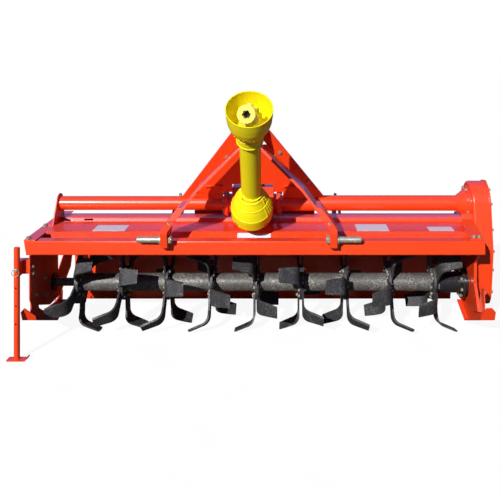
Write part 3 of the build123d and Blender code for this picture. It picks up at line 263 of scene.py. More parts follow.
labels.append(block((0.160, 0.034, film_thick), (0, 0, film_thick / 2), lip_frame, film_edge))
blank_labels = merged(labels, "blank_labels")
wear(blank_labels, label_film)
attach(blank_labels, "main_frame")

# ---------------------------------------------------------------- side plates
# Flame-cut plates that close the hood's ends; the left one has a folded top
# flange bolted to the beam, and carries the stand and the skid on its bolts.

for name in ("side_plate_left", "side_plate_right", "tube_ear_left"):
    wear(nodes[name], red_paint)
    soften(nodes[name], 0.0012)

plate_inner_x = rotor_x - 1.027
flange_z = beam_top_z + 0.0053
forged_tree, forged_in, forged_out = group_tree(
    "forged_scale",
    (
        ("Colour", "NodeSocketColor", (0.05, 0.05, 0.055, 1)),
        ("Worn", "NodeSocketColor", (0.2, 0.19, 0.18, 1)),
        ("Roughness", "NodeSocketFloat", 0.5),
        ("Grain", "NodeSocketFloat", 0.4),
        ("Scale", "NodeSocketFloat", 140.0),
    ),
    (("Colour", "NodeSocketColor"), ("Roughness", "NodeSocketFloat"), ("Normal", "NodeSocketVector")),
)
place = forged_tree.nodes.new("ShaderNodeTexCoord").outputs["Object"]
grain = noise(forged_tree, place, forged_in.outputs["Scale"], 6, 0.7)
patch = remap(forged_tree, noise(forged_tree, place, 14.0, 5, 0.65), 0.42, 0.62)
spots = remap(forged_tree, grain, 0.45, 0.68)
rub_amount = math_node(forged_tree, "MULTIPLY", spots, math_node(forged_tree, "ADD", 0.35, patch))
rubbed = mix(forged_tree, rub_amount, forged_in.outputs["Colour"], forged_in.outputs["Worn"])
forged_tree.links.new(rubbed, forged_out.inputs["Colour"])
polish = math_node(forged_tree, "MULTIPLY", spots, 0.15)
rubbed_rough = math_node(forged_tree, "SUBTRACT", forged_in.outputs["Roughness"], polish)
forged_tree.links.new(rubbed_rough, forged_out.inputs["Roughness"])
pits = forged_tree.nodes.new("ShaderNodeBump")
pits.inputs["Distance"].default_value = 0.0015
forged_tree.links.new(forged_in.outputs["Grain"], pits.inputs["Strength"])
forged_tree.links.new(grain, pits.inputs["Height"])
forged_tree.links.new(pits.outputs["Normal"], forged_out.inputs["Normal"])

zinc = material(
    "zinc",
    forged_tree,
    {
        "Colour": (0.34, 0.34, 0.27, 1),
        "Worn": (0.62, 0.60, 0.48, 1),
        "Roughness": 0.46,
        "Grain": 0.12,
        "Scale": 60.0,
    },
    metallic=0.55,
)


def disc(radius, depth, place, axis, sides=32, edge=0.0):
    """A round bar or washer standing on place and reaching along axis."""
    bpy.ops.object.select_all(action="DESELECT")
    bpy.ops.mesh.primitive_cylinder_add(
        vertices=sides, radius=radius, depth=depth, location=(0, 0, depth / 2)
    )
    piece = bpy.context.object
    bpy.ops.object.transform_apply(location=True)
    if edge:
        bpy.ops.object.mode_set(mode="EDIT")
        bpy.ops.mesh.select_all(action="SELECT")
        bpy.ops.mesh.edges_select_sharp(sharpness=math.radians(50))
        bpy.ops.mesh.bevel(offset=edge, segments=2)
        bpy.ops.object.mode_set(mode="OBJECT")
    turn = Vector(axis).to_track_quat("Z", "Y").to_matrix().to_4x4()
    piece.data.transform(Matrix.Translation(place) @ turn)
    return piece


def bolts(name, size, places, body, mat):
    """Hex heads on washers, one for each (x, y, z, direction) in places, joined into one piece."""
    fixed = []
    for x, y, z, axis in places:
        washer = disc(1.02 * size, 0.18 * size, (0, 0, 0), (0, 0, 1), 20)
        head = disc(0.88 * size, 0.62 * size, (0, 0, 0.18 * size), (0, 0, 1), 6, 0.07 * size)
        thread = disc(0.48 * size, 0.18 * size, (0, 0, 0.80 * size), (0, 0, 1), 12)
        bolt = merged([head, washer, thread], name)
        turn = Vector(axis).to_track_quat("Z", "Y").to_matrix().to_4x4()
        bolt.data.transform(Matrix.Translation((x, y, z)) @ turn)
        fixed.append(bolt)
    joined = merged(fixed, name)
    wear(joined, mat)
    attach(joined, body)
    return joined


flange_bolt_x = rotor_x - 1.044
plate_places = [
    (flange_bolt_x, rotor_y + across, flange_z, (0, 0, 1)) for across in (-0.300, -0.078, 0.160)
]
for across, height in (
    # across from the rotor's middle, height above the floor; the first two hold the stand's saddle
    (-0.298, 0.413),
    (-0.298, 0.381),
    (-0.129, 0.3045),
    (-0.250, 0.264),
    (-0.113, 0.214),
):
    plate_places.append((plate_inner_x, rotor_y + across, height, (1, 0, 0)))
bolts("side_plate_bolts", 0.011, plate_places, "main_frame", zinc)

# ---------------------------------------------------------------- gear case
# Pressed and welded case of the side gears with a flat steel cover bolted round
# its edge; two caps close the bearing seats, plugs fill and drain the oil.

for name in ("gear_case", "gear_case_cover"):
    wear(nodes[name], red_paint)
soften(nodes["gear_case_cover"], 0.0015)
case_left, case_depth, cover_gap, cover_thick = 1.0883, 0.082, 0.0003, 0.009
cover_x = rotor_x + case_left + case_depth + cover_gap + cover_thick
case_rings = (
    # across, up, radius, angles of the bolts on that circle
    (0.020, 0.398, 0.109, (10, 50, 90, 130, 170)),
    (0.002, 0.193, 0.126, (0, 180)),
    (0.000, 0.000, 0.095, (-10, -63, -117, -170)),
)
cap_radius = 0.058


def ring_of(radius, angles, x, y, z, axis):
    """Places round an axis that runs along the machine."""
    return [
        (x, y + radius * math.cos(math.radians(angle)), z + radius * math.sin(math.radians(angle)), axis)
        for angle in angles
    ]


cover_bolts = [
    (cover_x, rotor_y + across, rotor_z + up, (1, 0, 0))
    for across, up in ((-0.107, 0.295), (0.128, 0.295), (-0.110, 0.097), (0.112, 0.097))
]
for across, up, radius, angles in case_rings:
    cover_bolts += ring_of(radius, angles, cover_x, rotor_y + across, rotor_z + up, (1, 0, 0))
for seat_y, seat_z in ((0.020, 0.398), (0.0, 0.0)):
    cover_bolts += ring_of(
        cap_radius, range(30, 360, 60), cover_x, rotor_y + seat_y, rotor_z + seat_z, (1, 0, 0)
    )
bolts("cover_bolts", 0.0085, cover_bolts, "main_frame", zinc)
plugs = [
    disc(0.013, 0.010, (cover_x, rotor_y + 0.040, rotor_z + 0.235), (1, 0, 0), 6, 0.001),
    disc(0.011, 0.009, (cover_x, rotor_y - 0.010, rotor_z + 0.090), (1, 0, 0), 6, 0.001),
]
case_plugs = merged(plugs, "case_plugs")
wear(case_plugs, zinc)
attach(case_plugs, "main_frame")

# ---------------------------------------------------------------- axle tubes and gearbox
# Drawn tubes bolted to a cast bevel gearbox; the right one flares to its flange
# on the gear case, the left one is welded to the ear plate.

cast_red = material(
    "cast_red",
    finish_tree,
    {
        "Colour": PAINT_RED,
        "Shade": PAINT_DEEP,
        "Dust": DUST,
        "Dust Amount": 0.3,
        "Roughness": 0.4,
        "Peel": 0.5,
    },
    coat=0.3,
    coat_rough=0.2,
)
for name in ("axle_tube_left", "axle_tube_right"):
    wear(nodes[name], red_paint)
for name in ("gearbox_body", "gearbox_rear_cover"):
    wear(nodes[name], cast_red)
tube_y, tube_z = rotor_y + 0.020, rotor_z + 0.398
box_left, box_right = hitch_x - 0.1477, hitch_x + 0.1397
tube_places = ring_of(0.0795, range(22, 360, 45), rotor_x + 1.0763, tube_y, tube_z, (-1, 0, 0))
tube_places += ring_of(0.050, range(30, 390, 60), box_left, tube_y, tube_z, (-1, 0, 0))
tube_places += ring_of(0.052, range(30, 390, 60), box_right, tube_y, tube_z, (1, 0, 0))
bolts("tube_bolts", 0.0085, tube_places, "main_frame", zinc)
drive_x, drive_z = rotor_x - 0.003, rotor_z + 0.409
rear_cover_y, rear_cover_radius = rotor_y + 0.1143, 0.047
cover_places = []
for angle in range(0, 360, 60):
    beside = rear_cover_radius * math.cos(math.radians(angle))
    above = rear_cover_radius * math.sin(math.radians(angle))
    cover_places.append((drive_x + beside, rear_cover_y, drive_z + above, (0, 1, 0)))
bolts("rear_cover_bolts", 0.008, cover_places, "main_frame", zinc)


def ring_bead(major, minor, x, y, z):
    """A round weld bead about an axis that runs along the machine."""
    bpy.ops.object.select_all(action="DESELECT")
    bpy.ops.mesh.primitive_torus_add(
        major_radius=major,
        minor_radius=minor,
        major_segments=48,
        minor_segments=8,
        rotation=(0, math.radians(90), 0),
    )
    piece = bpy.context.object
    bpy.ops.object.transform_apply(rotation=True)
    piece.data.transform(Matrix.Translation((x, y, z)))
    return piece


def straight_bead(start, end):
    """A straight weld bead with rounded ends."""
    start, end = Vector(start), Vector(end)
    return disc(bead_radius, (end - start).length, start, end - start, 8, 0.4 * bead_radius)


bead_radius = 0.0035
ear_face_x = rotor_x - 1.032 + 0.026 + 0.0053
ear_foot_x, ear_foot_z = rotor_x - 1.004, flange_z + 0.001
frame_beads = [ring_bead(0.0355, 0.004, ear_face_x, tube_y, tube_z)]
frame_beads.append(
    straight_bead((ear_foot_x, rotor_y - 0.07, ear_foot_z), (ear_foot_x, rotor_y + 0.08, ear_foot_z))
)
plug_y, box_top_z = tube_y + 0.01, rotor_z + 0.487
gearbox_plugs = [
    disc(0.014, 0.010, (hitch_x + 0.045, plug_y, box_top_z), (0, 0, 1), 6, 0.001),
    disc(0.007, 0.016, (hitch_x - 0.050, plug_y, box_top_z), (0, 0, 1), 16, 0.001),
    disc(0.012, 0.014, (hitch_x - 0.050, plug_y, box_top_z + 0.016), (0, 0, 1), 24, 0.003),
]
box_plugs = merged(gearbox_plugs, "gearbox_plugs")
wear(box_plugs, zinc)
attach(box_plugs, "main_frame")

# ---------------------------------------------------------------- headstock
# Folded plate arms from the beam to the top-link ears, angle-bar legs down to
# the axle tube and a sheet between them, all welded; the feet carry the pins.

for name in (
    "hitch_arm_left",
    "hitch_arm_right",
    "mast_leg_left",
    "mast_leg_right",
    "mast_panel",
    "cross_rail",
    "top_link_ears",
):
    wear(nodes[name], red_paint)
    soften(nodes[name], 0.0012)

skirts = []
panel_tilt = math.atan2(0.4462, 1.0)
sheet_thick = 0.005
for low_x, high_x, across, up, tall in (
    # along the machine, then across it and up, from the rotor's middle, and the strip's height
    (-0.294, -0.161, -0.0105, 0.4485, 0.052),
    (0.143, 0.276, -0.0105, 0.4485, 0.052),
    (-0.164, -0.112, -0.0355, 0.4965, 0.070),
    (0.094, 0.146, -0.0355, 0.4965, 0.070),
):
    centre = (rotor_x + (low_x + high_x) / 2, rotor_y + across, rotor_z + up)
    skirt_frame = Matrix.Translation(centre) @ Matrix.Rotation(panel_tilt, 4, "X")
    skirts.append(block((high_x - low_x, sheet_thick, tall), (0, 0, 0), skirt_frame, 0.001))
panel_skirts = merged(skirts, "mast_panel_skirts")
wear(panel_skirts, red_paint)
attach(panel_skirts, "main_frame")

arm_half = 0.384
pin_z = rotor_z + 0.317
panel_out = (0, -0.9132, -0.4075)
arm_inner = arm_half - 0.0102
mast_bolts = [
    (hitch_x - arm_inner, rotor_y - 0.345, rotor_z + 0.385, (1, 0, 0)),
    (hitch_x + arm_inner, rotor_y - 0.345, rotor_z + 0.385, (-1, 0, 0)),
]
for across, up, lift in (
    # along the machine from the rotor's middle, height, distance from the legs' mid-plane
    (-0.296, 0.709, 0.0043),
    (-0.134, 0.892, 0.0093),
    (0.100, 0.898, 0.0093),
    (0.130, 0.916, 0.0043),
    (0.250, 0.718, 0.0093),
    (0.268, 0.755, 0.0043),
):
    depth = 0.016 + (lift - panel_out[2] * (up - tube_z)) / panel_out[1]
    mast_bolts.append((rotor_x + across, rotor_y + depth, up, panel_out))
bolts("mast_bolts", 0.0095, mast_bolts, "main_frame", zinc)
leg_half = 0.356
foot_start_y, foot_end_y, foot_z = beam_front_y + 0.003, beam_front_y + 0.058, beam_top_z + 0.001
leg_bead_y, leg_bead_z, leg_bead_half = tube_y - 0.012, tube_z + 0.038, 0.024
for side in (-1, 1):
    foot_x = hitch_x + side * (arm_half - 0.011)
    foot_start = (foot_x, foot_start_y, foot_z)
    frame_beads.append(straight_bead(foot_start, (foot_x, foot_end_y, foot_z)))
    leg_x = hitch_x + side * leg_half
    leg_start = (leg_x - leg_bead_half, leg_bead_y, leg_bead_z)
    frame_beads.append(straight_bead(leg_start, (leg_x + leg_bead_half, leg_bead_y, leg_bead_z)))
seam_paint = material(
    "seam_paint",
    finish_tree,
    {
        "Colour": PAINT_RED,
        "Shade": PAINT_DEEP,
        "Dust": DUST,
        "Dust Amount": 0.2,
        "Roughness": 0.36,
        "Peel": 0.9,
    },
    coat=0.4,
    coat_rough=0.15,
)


def smooth(obj, degrees=35):
    """Smooth shading, but for edges that turn by more than this."""
    bpy.ops.object.select_all(action="DESELECT")
    obj.select_set(True)
    bpy.context.view_layer.objects.active = obj
    bpy.ops.object.shade_smooth_by_angle(angle=math.radians(degrees))


welds = merged(frame_beads, "frame_weld_beads")
wear(welds, seam_paint)
smooth(welds, 60)
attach(welds, "main_frame")

# ---------------------------------------------------------------- lower link pins
# Turned from bar and zinc plated; each lower pin is held by a nut on the inner
# face of its arm, and the stand's pin goes through the stand's saddle.

for name in ("lower_pin_left", "lower_pin_right", "stand_pin"):
    wear(nodes[name], zinc)
pin_nuts = []
pin_y, nut_radius, nut_depth = rotor_y - 0.355, 0.0215, 0.0135
nut_back = arm_half - 0.012
for side in (-1, 1):
    nut_place = (hitch_x + side * nut_back, pin_y, pin_z)
    pin_nuts.append(disc(nut_radius, nut_depth, nut_place, (-side, 0, 0), 6, 0.0015))
nuts = merged(pin_nuts, "pin_nuts")
wear(nuts, zinc)
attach(nuts, "main_frame")

# ---------------------------------------------------------------- brace and skids
# A bent plate from the gear case to the beam, and two skids of folded strip
# welded to webs, bolted through slots so that their depth can be set.

for name in ("right_brace", "skid_left", "skid_right"):
    wear(nodes[name], red_paint)
    soften(nodes[name], 0.0012)
web_left, web_right = rotor_x - 1.0383, rotor_x + 1.0943
brace_y, brace_z = beam_front_y + 0.030, beam_top_z + 0.0085
skid_places = [
    (web_x, rotor_y + across, rotor_z + up, (side, 0, 0))
    for web_x, side in ((web_left, -1), (web_right, 1))
    for across, up in ((-0.266, 0.040), (-0.240, -0.030))
]
bolts(
    "brace_and_skid_bolts",
    0.011,
    [(rotor_x + along_x, brace_y, brace_z, (0, 0, 1)) for along_x in (1.040, 1.066)] + skid_places,
    "main_frame",
    zinc,
)

# ---------------------------------------------------------------- parking stand
# A drilled tube with a welded foot in a saddle on the left plate; the pin
# carries a spring-wire ring that keeps it in.

for name in ("stand_bracket", "stand_leg"):
    wear(nodes[name], red_paint)
clip_middle = (rotor_x - 1.076, rotor_y - 0.3705, rotor_z + 0.168)
clip_radius, wire_radius = 0.0165, 0.0015
bpy.ops.object.select_all(action="DESELECT")
bpy.ops.mesh.primitive_torus_add(
    major_radius=clip_radius,
    minor_radius=wire_radius,
    major_segments=40,
    minor_segments=8,
    rotation=(math.radians(90), 0, 0),
)
clip = bpy.context.object
bpy.ops.object.transform_apply(rotation=True)
clip.data.transform(Matrix.Translation(clip_middle))
clip.name = "stand_pin_ring"
wear(clip, zinc)
smooth(clip, 60)
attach(clip, "stand_body")

# ---------------------------------------------------------------- rotor
# Forged tines bolted to discs welded on a tube; mill scale with bright worn
# ends, black hub on the drive side, zinc bolts.

tine_steel = material(
    "tine_steel",
    forged_tree,
    {
        "Colour": (0.030, 0.030, 0.036, 1),
        "Worn": (0.15, 0.15, 0.15, 1),
        "Roughness": 0.55,
        "Grain": 0.5,
        "Scale": 150.0,
    },
    metallic=0.2,
)
tube_steel = material(
    "tube_steel",
    forged_tree,
    {
        "Colour": (0.075, 0.072, 0.07, 1),
        "Worn": (0.30, 0.29, 0.27, 1),
        "Roughness": 0.55,
        "Grain": 0.4,
        "Scale": 110.0,
    },
    metallic=0.2,
)
black_paint = material(
    "black_paint",
    finish_tree,
    {
        "Colour": (0.010, 0.010, 0.012, 1),
        "Shade": (0.03, 0.03, 0.032, 1),
        "Dust": DUST,
        "Dust Amount": 0.1,
        "Roughness": 0.25,
        "Peel": 0.1,
    },
)
rotor = nodes["rotor"]
wear(rotor, tine_steel, tube_steel, black_paint)
hub_start, hub_flange_start = rotor_x + 0.933, rotor_x + 1.044
hub_radius, hub_flange_radius, tube_radius = 0.053, 0.081, 0.0442
for face in rotor.data.polygons:
    from_axis = math.hypot(face.center.y - rotor_y, face.center.z - rotor_z)
    black_radius = hub_flange_radius if face.center.x > hub_flange_start else hub_radius
    if face.center.x > hub_start and from_axis < black_radius:
        face.material_index = 2
    elif from_axis < tube_radius:
        face.material_index = 1
for name in ("bearing_left", "output_collar"):
    wear(nodes[name], black_paint)

disc_count, disc_pitch = 9, 0.224
first_disc = rotor_x + 0.009 - 4 * disc_pitch
tine_face, disc_face = 0.015, 0.006
tine_bolts = []
for station in range(disc_count):
    disc_x = first_disc + disc_pitch * station
    for tine in range(6):
        side = -1 if tine % 2 else 1
        turn = math.radians(52.0 + 14.5 * station + 60.0 * tine)
        for reach, across in ((0.060, 0.013), (0.074, -0.013)):
            y = rotor_y + across * math.cos(turn) - reach * math.sin(turn)
            z = rotor_z + across * math.sin(turn) + reach * math.cos(turn)
            tine_bolts.append((disc_x + side * tine_face, y, z, (side, 0, 0)))
            tine_bolts.append((disc_x - side * disc_face, y, z, (-side, 0, 0)))
bolts("tine_bolts", 0.0085, tine_bolts, "rotor_body", zinc)
hub_bolt_x, hub_bolt_radius = rotor_x + 1.0445, 0.067
hub_places = ring_of(hub_bolt_radius, range(15, 375, 45), hub_bolt_x, rotor_y, rotor_z, (-1, 0, 0))
bolts("hub_bolts", 0.0095, hub_places, "rotor_body", zinc)
tube_beads = []
for station in range(disc_count):
    disc_x = first_disc + disc_pitch * station
    for side in (-1, 1):
        tube_beads.append(ring_bead(0.0445, 0.0045, disc_x + side * 0.0075, rotor_y, rotor_z))
rotor_welds = merged(tube_beads, "rotor_weld_beads")
wear(rotor_welds, tube_steel)
smooth(rotor_welds, 60)
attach(rotor_welds, "rotor_body")

# ---------------------------------------------------------------- tailboard
# Folded sheet on a hinge rod, held down by two rods that slide in eyes on the
# hood; each rod has a wound compression spring between two washers.

for name in ("tailboard", "tail_hinge", "rod_guides"):
    wear(nodes[name], red_paint)
soften(nodes["tailboard"], 0.0010)
soften(nodes["rod_guides"], 0.0010)
lug_y, lug_z = rotor_y + 0.414, rotor_z - 0.055
guide_y, guide_z = rotor_y + 0.326, rotor_z + 0.315
rod_axis = Vector((0, guide_y - lug_y, guide_z - lug_z))
rod_length = rod_axis.length + 0.070
rod_turn = rod_axis.to_track_quat("Z", "Y").to_matrix().to_4x4()
spring_black = material(
    "spring_black",
    finish_tree,
    {
        "Colour": (0.014, 0.014, 0.016, 1),
        "Shade": (0.04, 0.038, 0.035, 1),
        "Dust": DUST,
        "Dust Amount": 0.2,
        "Roughness": 0.35,
        "Peel": 0.1,
    },
)
wire_radius, coil_radius, coil_start, coil_pitch, coil_turns = 0.0024, 0.0145, 0.0704, 0.0170, 11
for side, rod_name in ((-1, "left"), (1, "right")):
    rod_place = Matrix.Translation((rotor_x + side * 0.430, lug_y, lug_z)) @ rod_turn
    pieces = [
        disc(0.008, rod_length, (0, 0, 0), (0, 0, 1), 24, 0.0015),
        disc(0.020, 0.004, (0, 0, 0.064), (0, 0, 1), 32, 0.0006),
        disc(0.020, 0.004, (0, 0, 0.264), (0, 0, 1), 32, 0.0006),
        disc(0.014, 0.010, (0, 0, 0.268), (0, 0, 1), 6, 0.0010),
        disc(0.014, 0.008, (0, 0, 0.055), (0, 0, 1), 6, 0.0010),
        disc(0.0125, 0.017, (-0.0085, 0, 0), (1, 0, 0), 32, 0.0010),
        disc(0.0049, 0.038, (-0.019, 0, 0), (1, 0, 0), 20, 0.0006),
    ]
    rod = merged(pieces, "spring_rod_turned_" + rod_name)
    rod.data.transform(rod_place)
    wear(rod, zinc)
    smooth(rod)
    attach(rod, "rod_" + rod_name + "_body")
    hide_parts("spring_rod_" + rod_name)

    bpy.ops.object.select_all(action="DESELECT")
    bpy.ops.mesh.primitive_circle_add(
        vertices=10,
        radius=wire_radius,
        location=(coil_radius, 0, coil_start),
        rotation=(math.radians(90), 0, 0),
    )
    coil = bpy.context.object
    bpy.ops.object.transform_apply(location=True, rotation=True)
    wind = coil.modifiers.new("wind", "SCREW")
    wind.angle = math.radians(360)
    wind.screw_offset = coil_pitch
    wind.iterations = coil_turns
    wind.steps = 28
    wind.render_steps = 28
    bpy.ops.object.modifier_apply(modifier="wind")
    bpy.ops.object.mode_set(mode="EDIT")
    bpy.ops.mesh.select_all(action="SELECT")
    bpy.ops.mesh.remove_doubles(threshold=0.00001)
    bpy.ops.mesh.select_all(action="DESELECT")
    bpy.ops.mesh.select_non_manifold()
    bpy.ops.mesh.edge_face_add()
    bpy.ops.mesh.select_all(action="SELECT")
    bpy.ops.mesh.normals_make_consistent(inside=False)
    bpy.ops.object.mode_set(mode="OBJECT")
    coil.name = "spring_coil_" + rod_name
    coil.data.transform(rod_place)
    wear(coil, spring_black)
    smooth(coil, 60)
    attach(coil, "rod_" + rod_name + "_body")

# ---------------------------------------------------------------- cardan shaft
# Forged yokes in yellow paint on two crosses, inside moulded yellow guard tubes
# with ribbed bells; the tractor yoke has a six-spline hub and a locking collar.

yellow = material(
    "yellow_guard",
    finish_tree,
    {
        "Colour": (0.94, 0.82, 0.006, 1),
        "Shade": (0.82, 0.70, 0.006, 1),
        "Dust": DUST,
        "Dust Amount": 0.06,
        "Roughness": 0.34,
        "Peel": 0.04,
    },
)
for name in ("pto_inner_guard", "pto_outer_guard", "pto_lower_bell", "pto_upper_bell"):
    wear(nodes[name], yellow)
yoke_yellow = material(
    "yoke_yellow",
    finish_tree,
    {
        "Colour": (0.88, 0.76, 0.14, 1),
        "Shade": (0.72, 0.60, 0.12, 1),
        "Dust": DUST,
        "Dust Amount": 0.2,
        "Roughness": 0.36,
        "Peel": 0.35,
    },
    coat=0.3,
)
for name in ("pto_input_yoke", "pto_lower_fork", "pto_upper_fork", "pto_tractor_yoke"):
    wear(nodes[name], yoke_yellow)
for name in ("pto_lower_cross", "pto_upper_cross"):
    wear(nodes[name], zinc)

lift, lean = math.radians(46), math.radians(1.4)
droop, yoke_turn = math.radians(46), math.radians(-10)
upright = Vector((0, -math.cos(lift), math.sin(lift)))
along = upright * math.cos(lean) + Vector((1, 0, 0)) * math.sin(lean)
across = Vector((1, 0, 0)) * math.cos(lean) - upright * math.sin(lean)
lower_cross = Vector((drive_x, rotor_y - 0.228, drive_z))
cross_span = 0.738


def frame_at(origin, x_axis, z_axis):
    """The matrix of a frame with this origin and these two axes, square to each other."""
    y_axis = z_axis.cross(x_axis)
    matrix = Matrix((x_axis, y_axis, z_axis)).transposed().to_4x4()
    return Matrix.Translation(origin) @ matrix


shaft_frame = frame_at(lower_cross, across, along)


def on_bell(size, turn, reach, height, tilt, edge):
    """A block on a bell's skin, turned round the shaft and then tilted to the skin."""
    spin = Matrix.Rotation(math.radians(turn), 4, "Z")
    skin = Matrix.Translation((reach, 0, height)) @ Matrix.Rotation(math.radians(tilt), 4, "Y")
    return block(size, (0, 0, 0), shaft_frame @ spin @ skin, edge)


ribs = []
for index in range(-2, 5):
    turn = 9.0 * index - 20.0
    ribs.append(on_bell((0.007, 0.003, 0.050), turn, 0.0875, 0.0935, -21.0, 0.0008))
    if index % 2:
        ribs.append(on_bell((0.006, 0.003, 0.026), turn, 0.0655, 0.142, -22.0, 0.0008))
lower_ribs = merged(ribs, "lower_bell_ribs")
wear(lower_ribs, yellow)
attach(lower_ribs, "shaft_body")

# Thin black blocks on the lower bell's skin where its slots are: painted shade of the openings.
slot_shades = []
for turn in (45, 135, 225, 315):
    slot_shades.append(on_bell((0.0015, 0.014, 0.008), turn, 0.0525, 0.169, 0.0, 0.0003))
    slot_shades.append(on_bell((0.0015, 0.020, 0.007), turn, 0.0978, 0.012, 0.0, 0.0003))
lower_slot_shades = merged(slot_shades, "lower_bell_slot_shades")
wear(lower_slot_shades, black_paint)
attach(lower_slot_shades, "shaft_body")


def round_bead(major, minor, matrix, height):
    """A rolled rim round the third axis of the frame that matrix describes."""
    bpy.ops.object.select_all(action="DESELECT")
    bpy.ops.mesh.primitive_torus_add(
        major_radius=major, minor_radius=minor, major_segments=72, minor_segments=10
    )
    piece = bpy.context.object
    piece.data.transform(matrix @ Matrix.Translation((0, 0, height)))
    return piece


rims = [
    round_bead(0.0962, 0.0017, shaft_frame, 0.0040),
    round_bead(0.0970, 0.0014, shaft_frame, 0.0480),
    round_bead(0.0950, 0.0030, shaft_frame, 0.0640),
    round_bead(0.0755, 0.0030, shaft_frame, 0.1190),
    round_bead(0.0575, 0.0026, shaft_frame, 0.1570),
]
lower_rims = merged(rims, "lower_bell_rims")
wear(lower_rims, yellow)
smooth(lower_rims, 60)
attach(lower_rims, "shaft_body")

rims = [
    round_bead(0.0948, 0.0019, shaft_frame, cross_span + 0.0208),
    round_bead(0.0568, 0.0016, shaft_frame, cross_span - 0.1730),
    round_bead(0.0573, 0.0014, shaft_frame, cross_span - 0.1360),
]
for turn in range(15, 375, 30):
    rims.append(on_bell((0.005, 0.003, 0.034), turn, 0.0745, cross_span - 0.096, 31.0, 0.0008))
upper_rims = merged(rims, "upper_bell_rims")
wear(upper_rims, yellow)
smooth(upper_rims, 40)
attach(upper_rims, "telescope_body")

turned = along * math.cos(yoke_turn) + across * math.sin(yoke_turn)
pin_axis = across * math.cos(yoke_turn) - along * math.sin(yoke_turn)
hub_axis = turned * math.cos(droop) - along.cross(across) * math.sin(droop)
upper_cross = lower_cross + along * cross_span
hub_frame = frame_at(upper_cross, pin_axis, hub_axis)
collar_radius, collar_bead, plug_radius, plug_depth = 0.0352, 0.0030, 0.0050, 0.010
collar = [
    round_bead(collar_radius, collar_bead, hub_frame, 0.057),
    round_bead(collar_radius, collar_bead, hub_frame, 0.069),
]
for side in (1, -1):
    plug = disc(plug_radius, plug_depth, (side * 0.030, 0, 0.063), (side, 0, 0), 20, 0.001)
    plug.data.transform(hub_frame)
    collar.append(plug)
hub_collar = merged(collar, "hub_collar")
wear(hub_collar, yoke_yellow)
smooth(hub_collar, 50)
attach(hub_collar, "tractor_yoke_body")
# A black disc set down inside the tractor yoke's hub bore: painted shade that darkens the bore.
bore_radius, bore_shade_thick, bore_shade_height = 0.0165, 0.0012, 0.0424
bore_shade_disc = disc(bore_radius, bore_shade_thick, (0, 0, bore_shade_height), (0, 0, 1), 32, 0.0002)
bore_shade_disc.data.transform(hub_frame)
bore_shade_disc.name = "hub_bore_shade_disc"
wear(bore_shade_disc, black_paint)
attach(bore_shade_disc, "tractor_yoke_body")


def bearing_caps(origin, pin_dir, name, body):
    """Cup faces of one pair of needle cups, set in a yoke's ears."""
    cup_radius, cup_thick, cup_reach = 0.0125, 0.0018, 0.0372
    cups = []
    for side in (-1, 1):
        cup_place = origin + pin_dir * side * cup_reach
        cups.append(disc(cup_radius, cup_thick, cup_place, pin_dir * side, 28, 0.0005))
    joined = merged(cups, name)
    wear(joined, zinc)
    smooth(joined, 40)
    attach(joined, body)


bearing_caps(lower_cross, along.cross(across), "lower_cross_cups", "shaft_body")
bearing_caps(upper_cross, along.cross(across), "upper_cross_cups", "telescope_body")
bearing_caps(upper_cross, pin_axis, "tractor_yoke_cups", "tractor_yoke_body")
bearing_caps(lower_cross, Vector((1, 0, 0)), "input_yoke_cups", "main_frame")

# ---------------------------------------------------------------- yard, light and camera
# Pale concrete floor that looks white to the camera, under a white sky that is blue
# in glossy surfaces and dim elsewhere; a sun from the front left, a level camera.

bpy.ops.object.select_all(action="DESELECT")
bpy.ops.mesh.primitive_plane_add(size=60, location=(0, 0, 0))
floor = bpy.context.object
floor.name = "floor"
floor_mat = bpy.data.materials.new("pale_floor")
floor_mat.use_nodes = True
nt = floor_mat.node_tree
shader = nt.nodes["Principled BSDF"]
shader.inputs["Roughness"].default_value = 0.9
shader.inputs["Specular IOR Level"].default_value = 0.1
coord = nt.nodes.new("ShaderNodeTexCoord").outputs["Object"]
tone = remap(nt, noise(nt, coord, 3.0, 4, 0.5), 0.2, 0.8)
ground = mix(nt, tone, (0.10, 0.095, 0.09, 1), (0.14, 0.13, 0.12, 1))
pale = mix(nt, tone, (0.90, 0.90, 0.90, 1), (0.94, 0.94, 0.94, 1))
seen = nt.nodes.new("ShaderNodeLightPath").outputs["Is Camera Ray"]
nt.links.new(mix(nt, seen, ground, pale), shader.inputs["Base Color"])
glow = nt.nodes.new("ShaderNodeEmission")
glow.inputs["Strength"].default_value = 1.04
nt.links.new(mix(nt, tone, (0.985, 0.985, 0.985, 1), (1.0, 1.0, 1.0, 1)), glow.inputs["Color"])
blend = nt.nodes.new("ShaderNodeMixShader")
nt.links.new(math_node(nt, "MULTIPLY", seen, 0.90), blend.inputs[0])
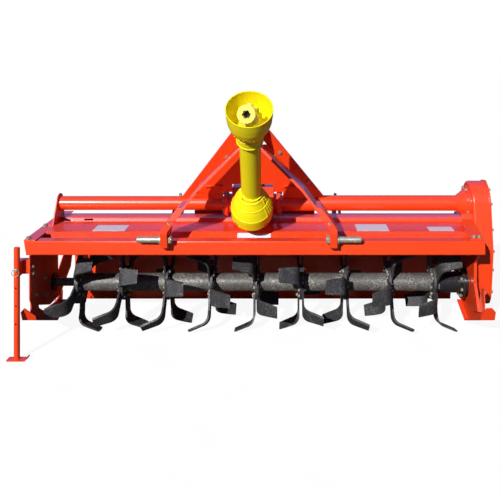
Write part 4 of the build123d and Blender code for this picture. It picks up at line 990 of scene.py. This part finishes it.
nt.links.new(shader.outputs[0], blend.inputs[1])
nt.links.new(glow.outputs[0], blend.inputs[2])
nt.links.new(blend.outputs[0], nt.nodes["Material Output"].inputs["Surface"])
floor.data.materials.append(floor_mat)

world = bpy.data.worlds.new("sky")
bpy.context.scene.world = world
world.use_nodes = True
nt = world.node_tree
background = nt.nodes["Background"]
path = nt.nodes.new("ShaderNodeLightPath")
direction = nt.nodes.new("ShaderNodeTexCoord")
height = nt.nodes.new("ShaderNodeSeparateXYZ")
nt.links.new(direction.outputs["Generated"], height.inputs[0])
ramp = remap(nt, height.outputs["Z"], 0.0, 0.6)
behind = remap(nt, height.outputs["Y"], -0.2, 0.6)
low_sky = mix(nt, behind, (0.10, 0.10, 0.16, 1), (0.42, 0.40, 0.95, 1))
sky = mix(nt, ramp, low_sky, (0.14, 0.22, 0.70, 1))
dim = mix(nt, ramp, (0.070, 0.068, 0.075, 1), (0.035, 0.045, 0.095, 1))
lit = mix(nt, path.outputs["Is Glossy Ray"], dim, sky)
nt.links.new(mix(nt, path.outputs["Is Camera Ray"], lit, (1, 1, 1, 1)), background.inputs["Color"])
background.inputs["Strength"].default_value = 1.0

sun_direction = Vector((0.36, 0.88, -0.47))
sun = bpy.data.lights.new("sun", "SUN")
sun.energy = 5.2
sun.angle = math.radians(0.6)
sun.color = (1.0, 0.97, 0.93)
sun_object = bpy.data.objects.new("sun", sun)
bpy.context.scene.collection.objects.link(sun_object)
sun_object.rotation_euler = sun_direction.to_track_quat("-Z", "Y").to_euler()

camera = bpy.data.cameras.new("camera")
camera.sensor_width = 36.0
camera.lens = 36.0 * 685.0 / 500.0
camera.shift_x = -0.08
camera.shift_y = -0.414
camera.clip_end = 200.0
camera_object = bpy.data.objects.new("camera", camera)
bpy.context.scene.collection.objects.link(camera_object)
camera_object.location = (rotor_x + 0.179, rotor_y - 3.5, 1.457)
camera_object.rotation_euler = (math.radians(90), 0, 0)
bpy.context.scene.camera = camera_object
bpy.context.scene.view_settings.view_transform = "Standard"
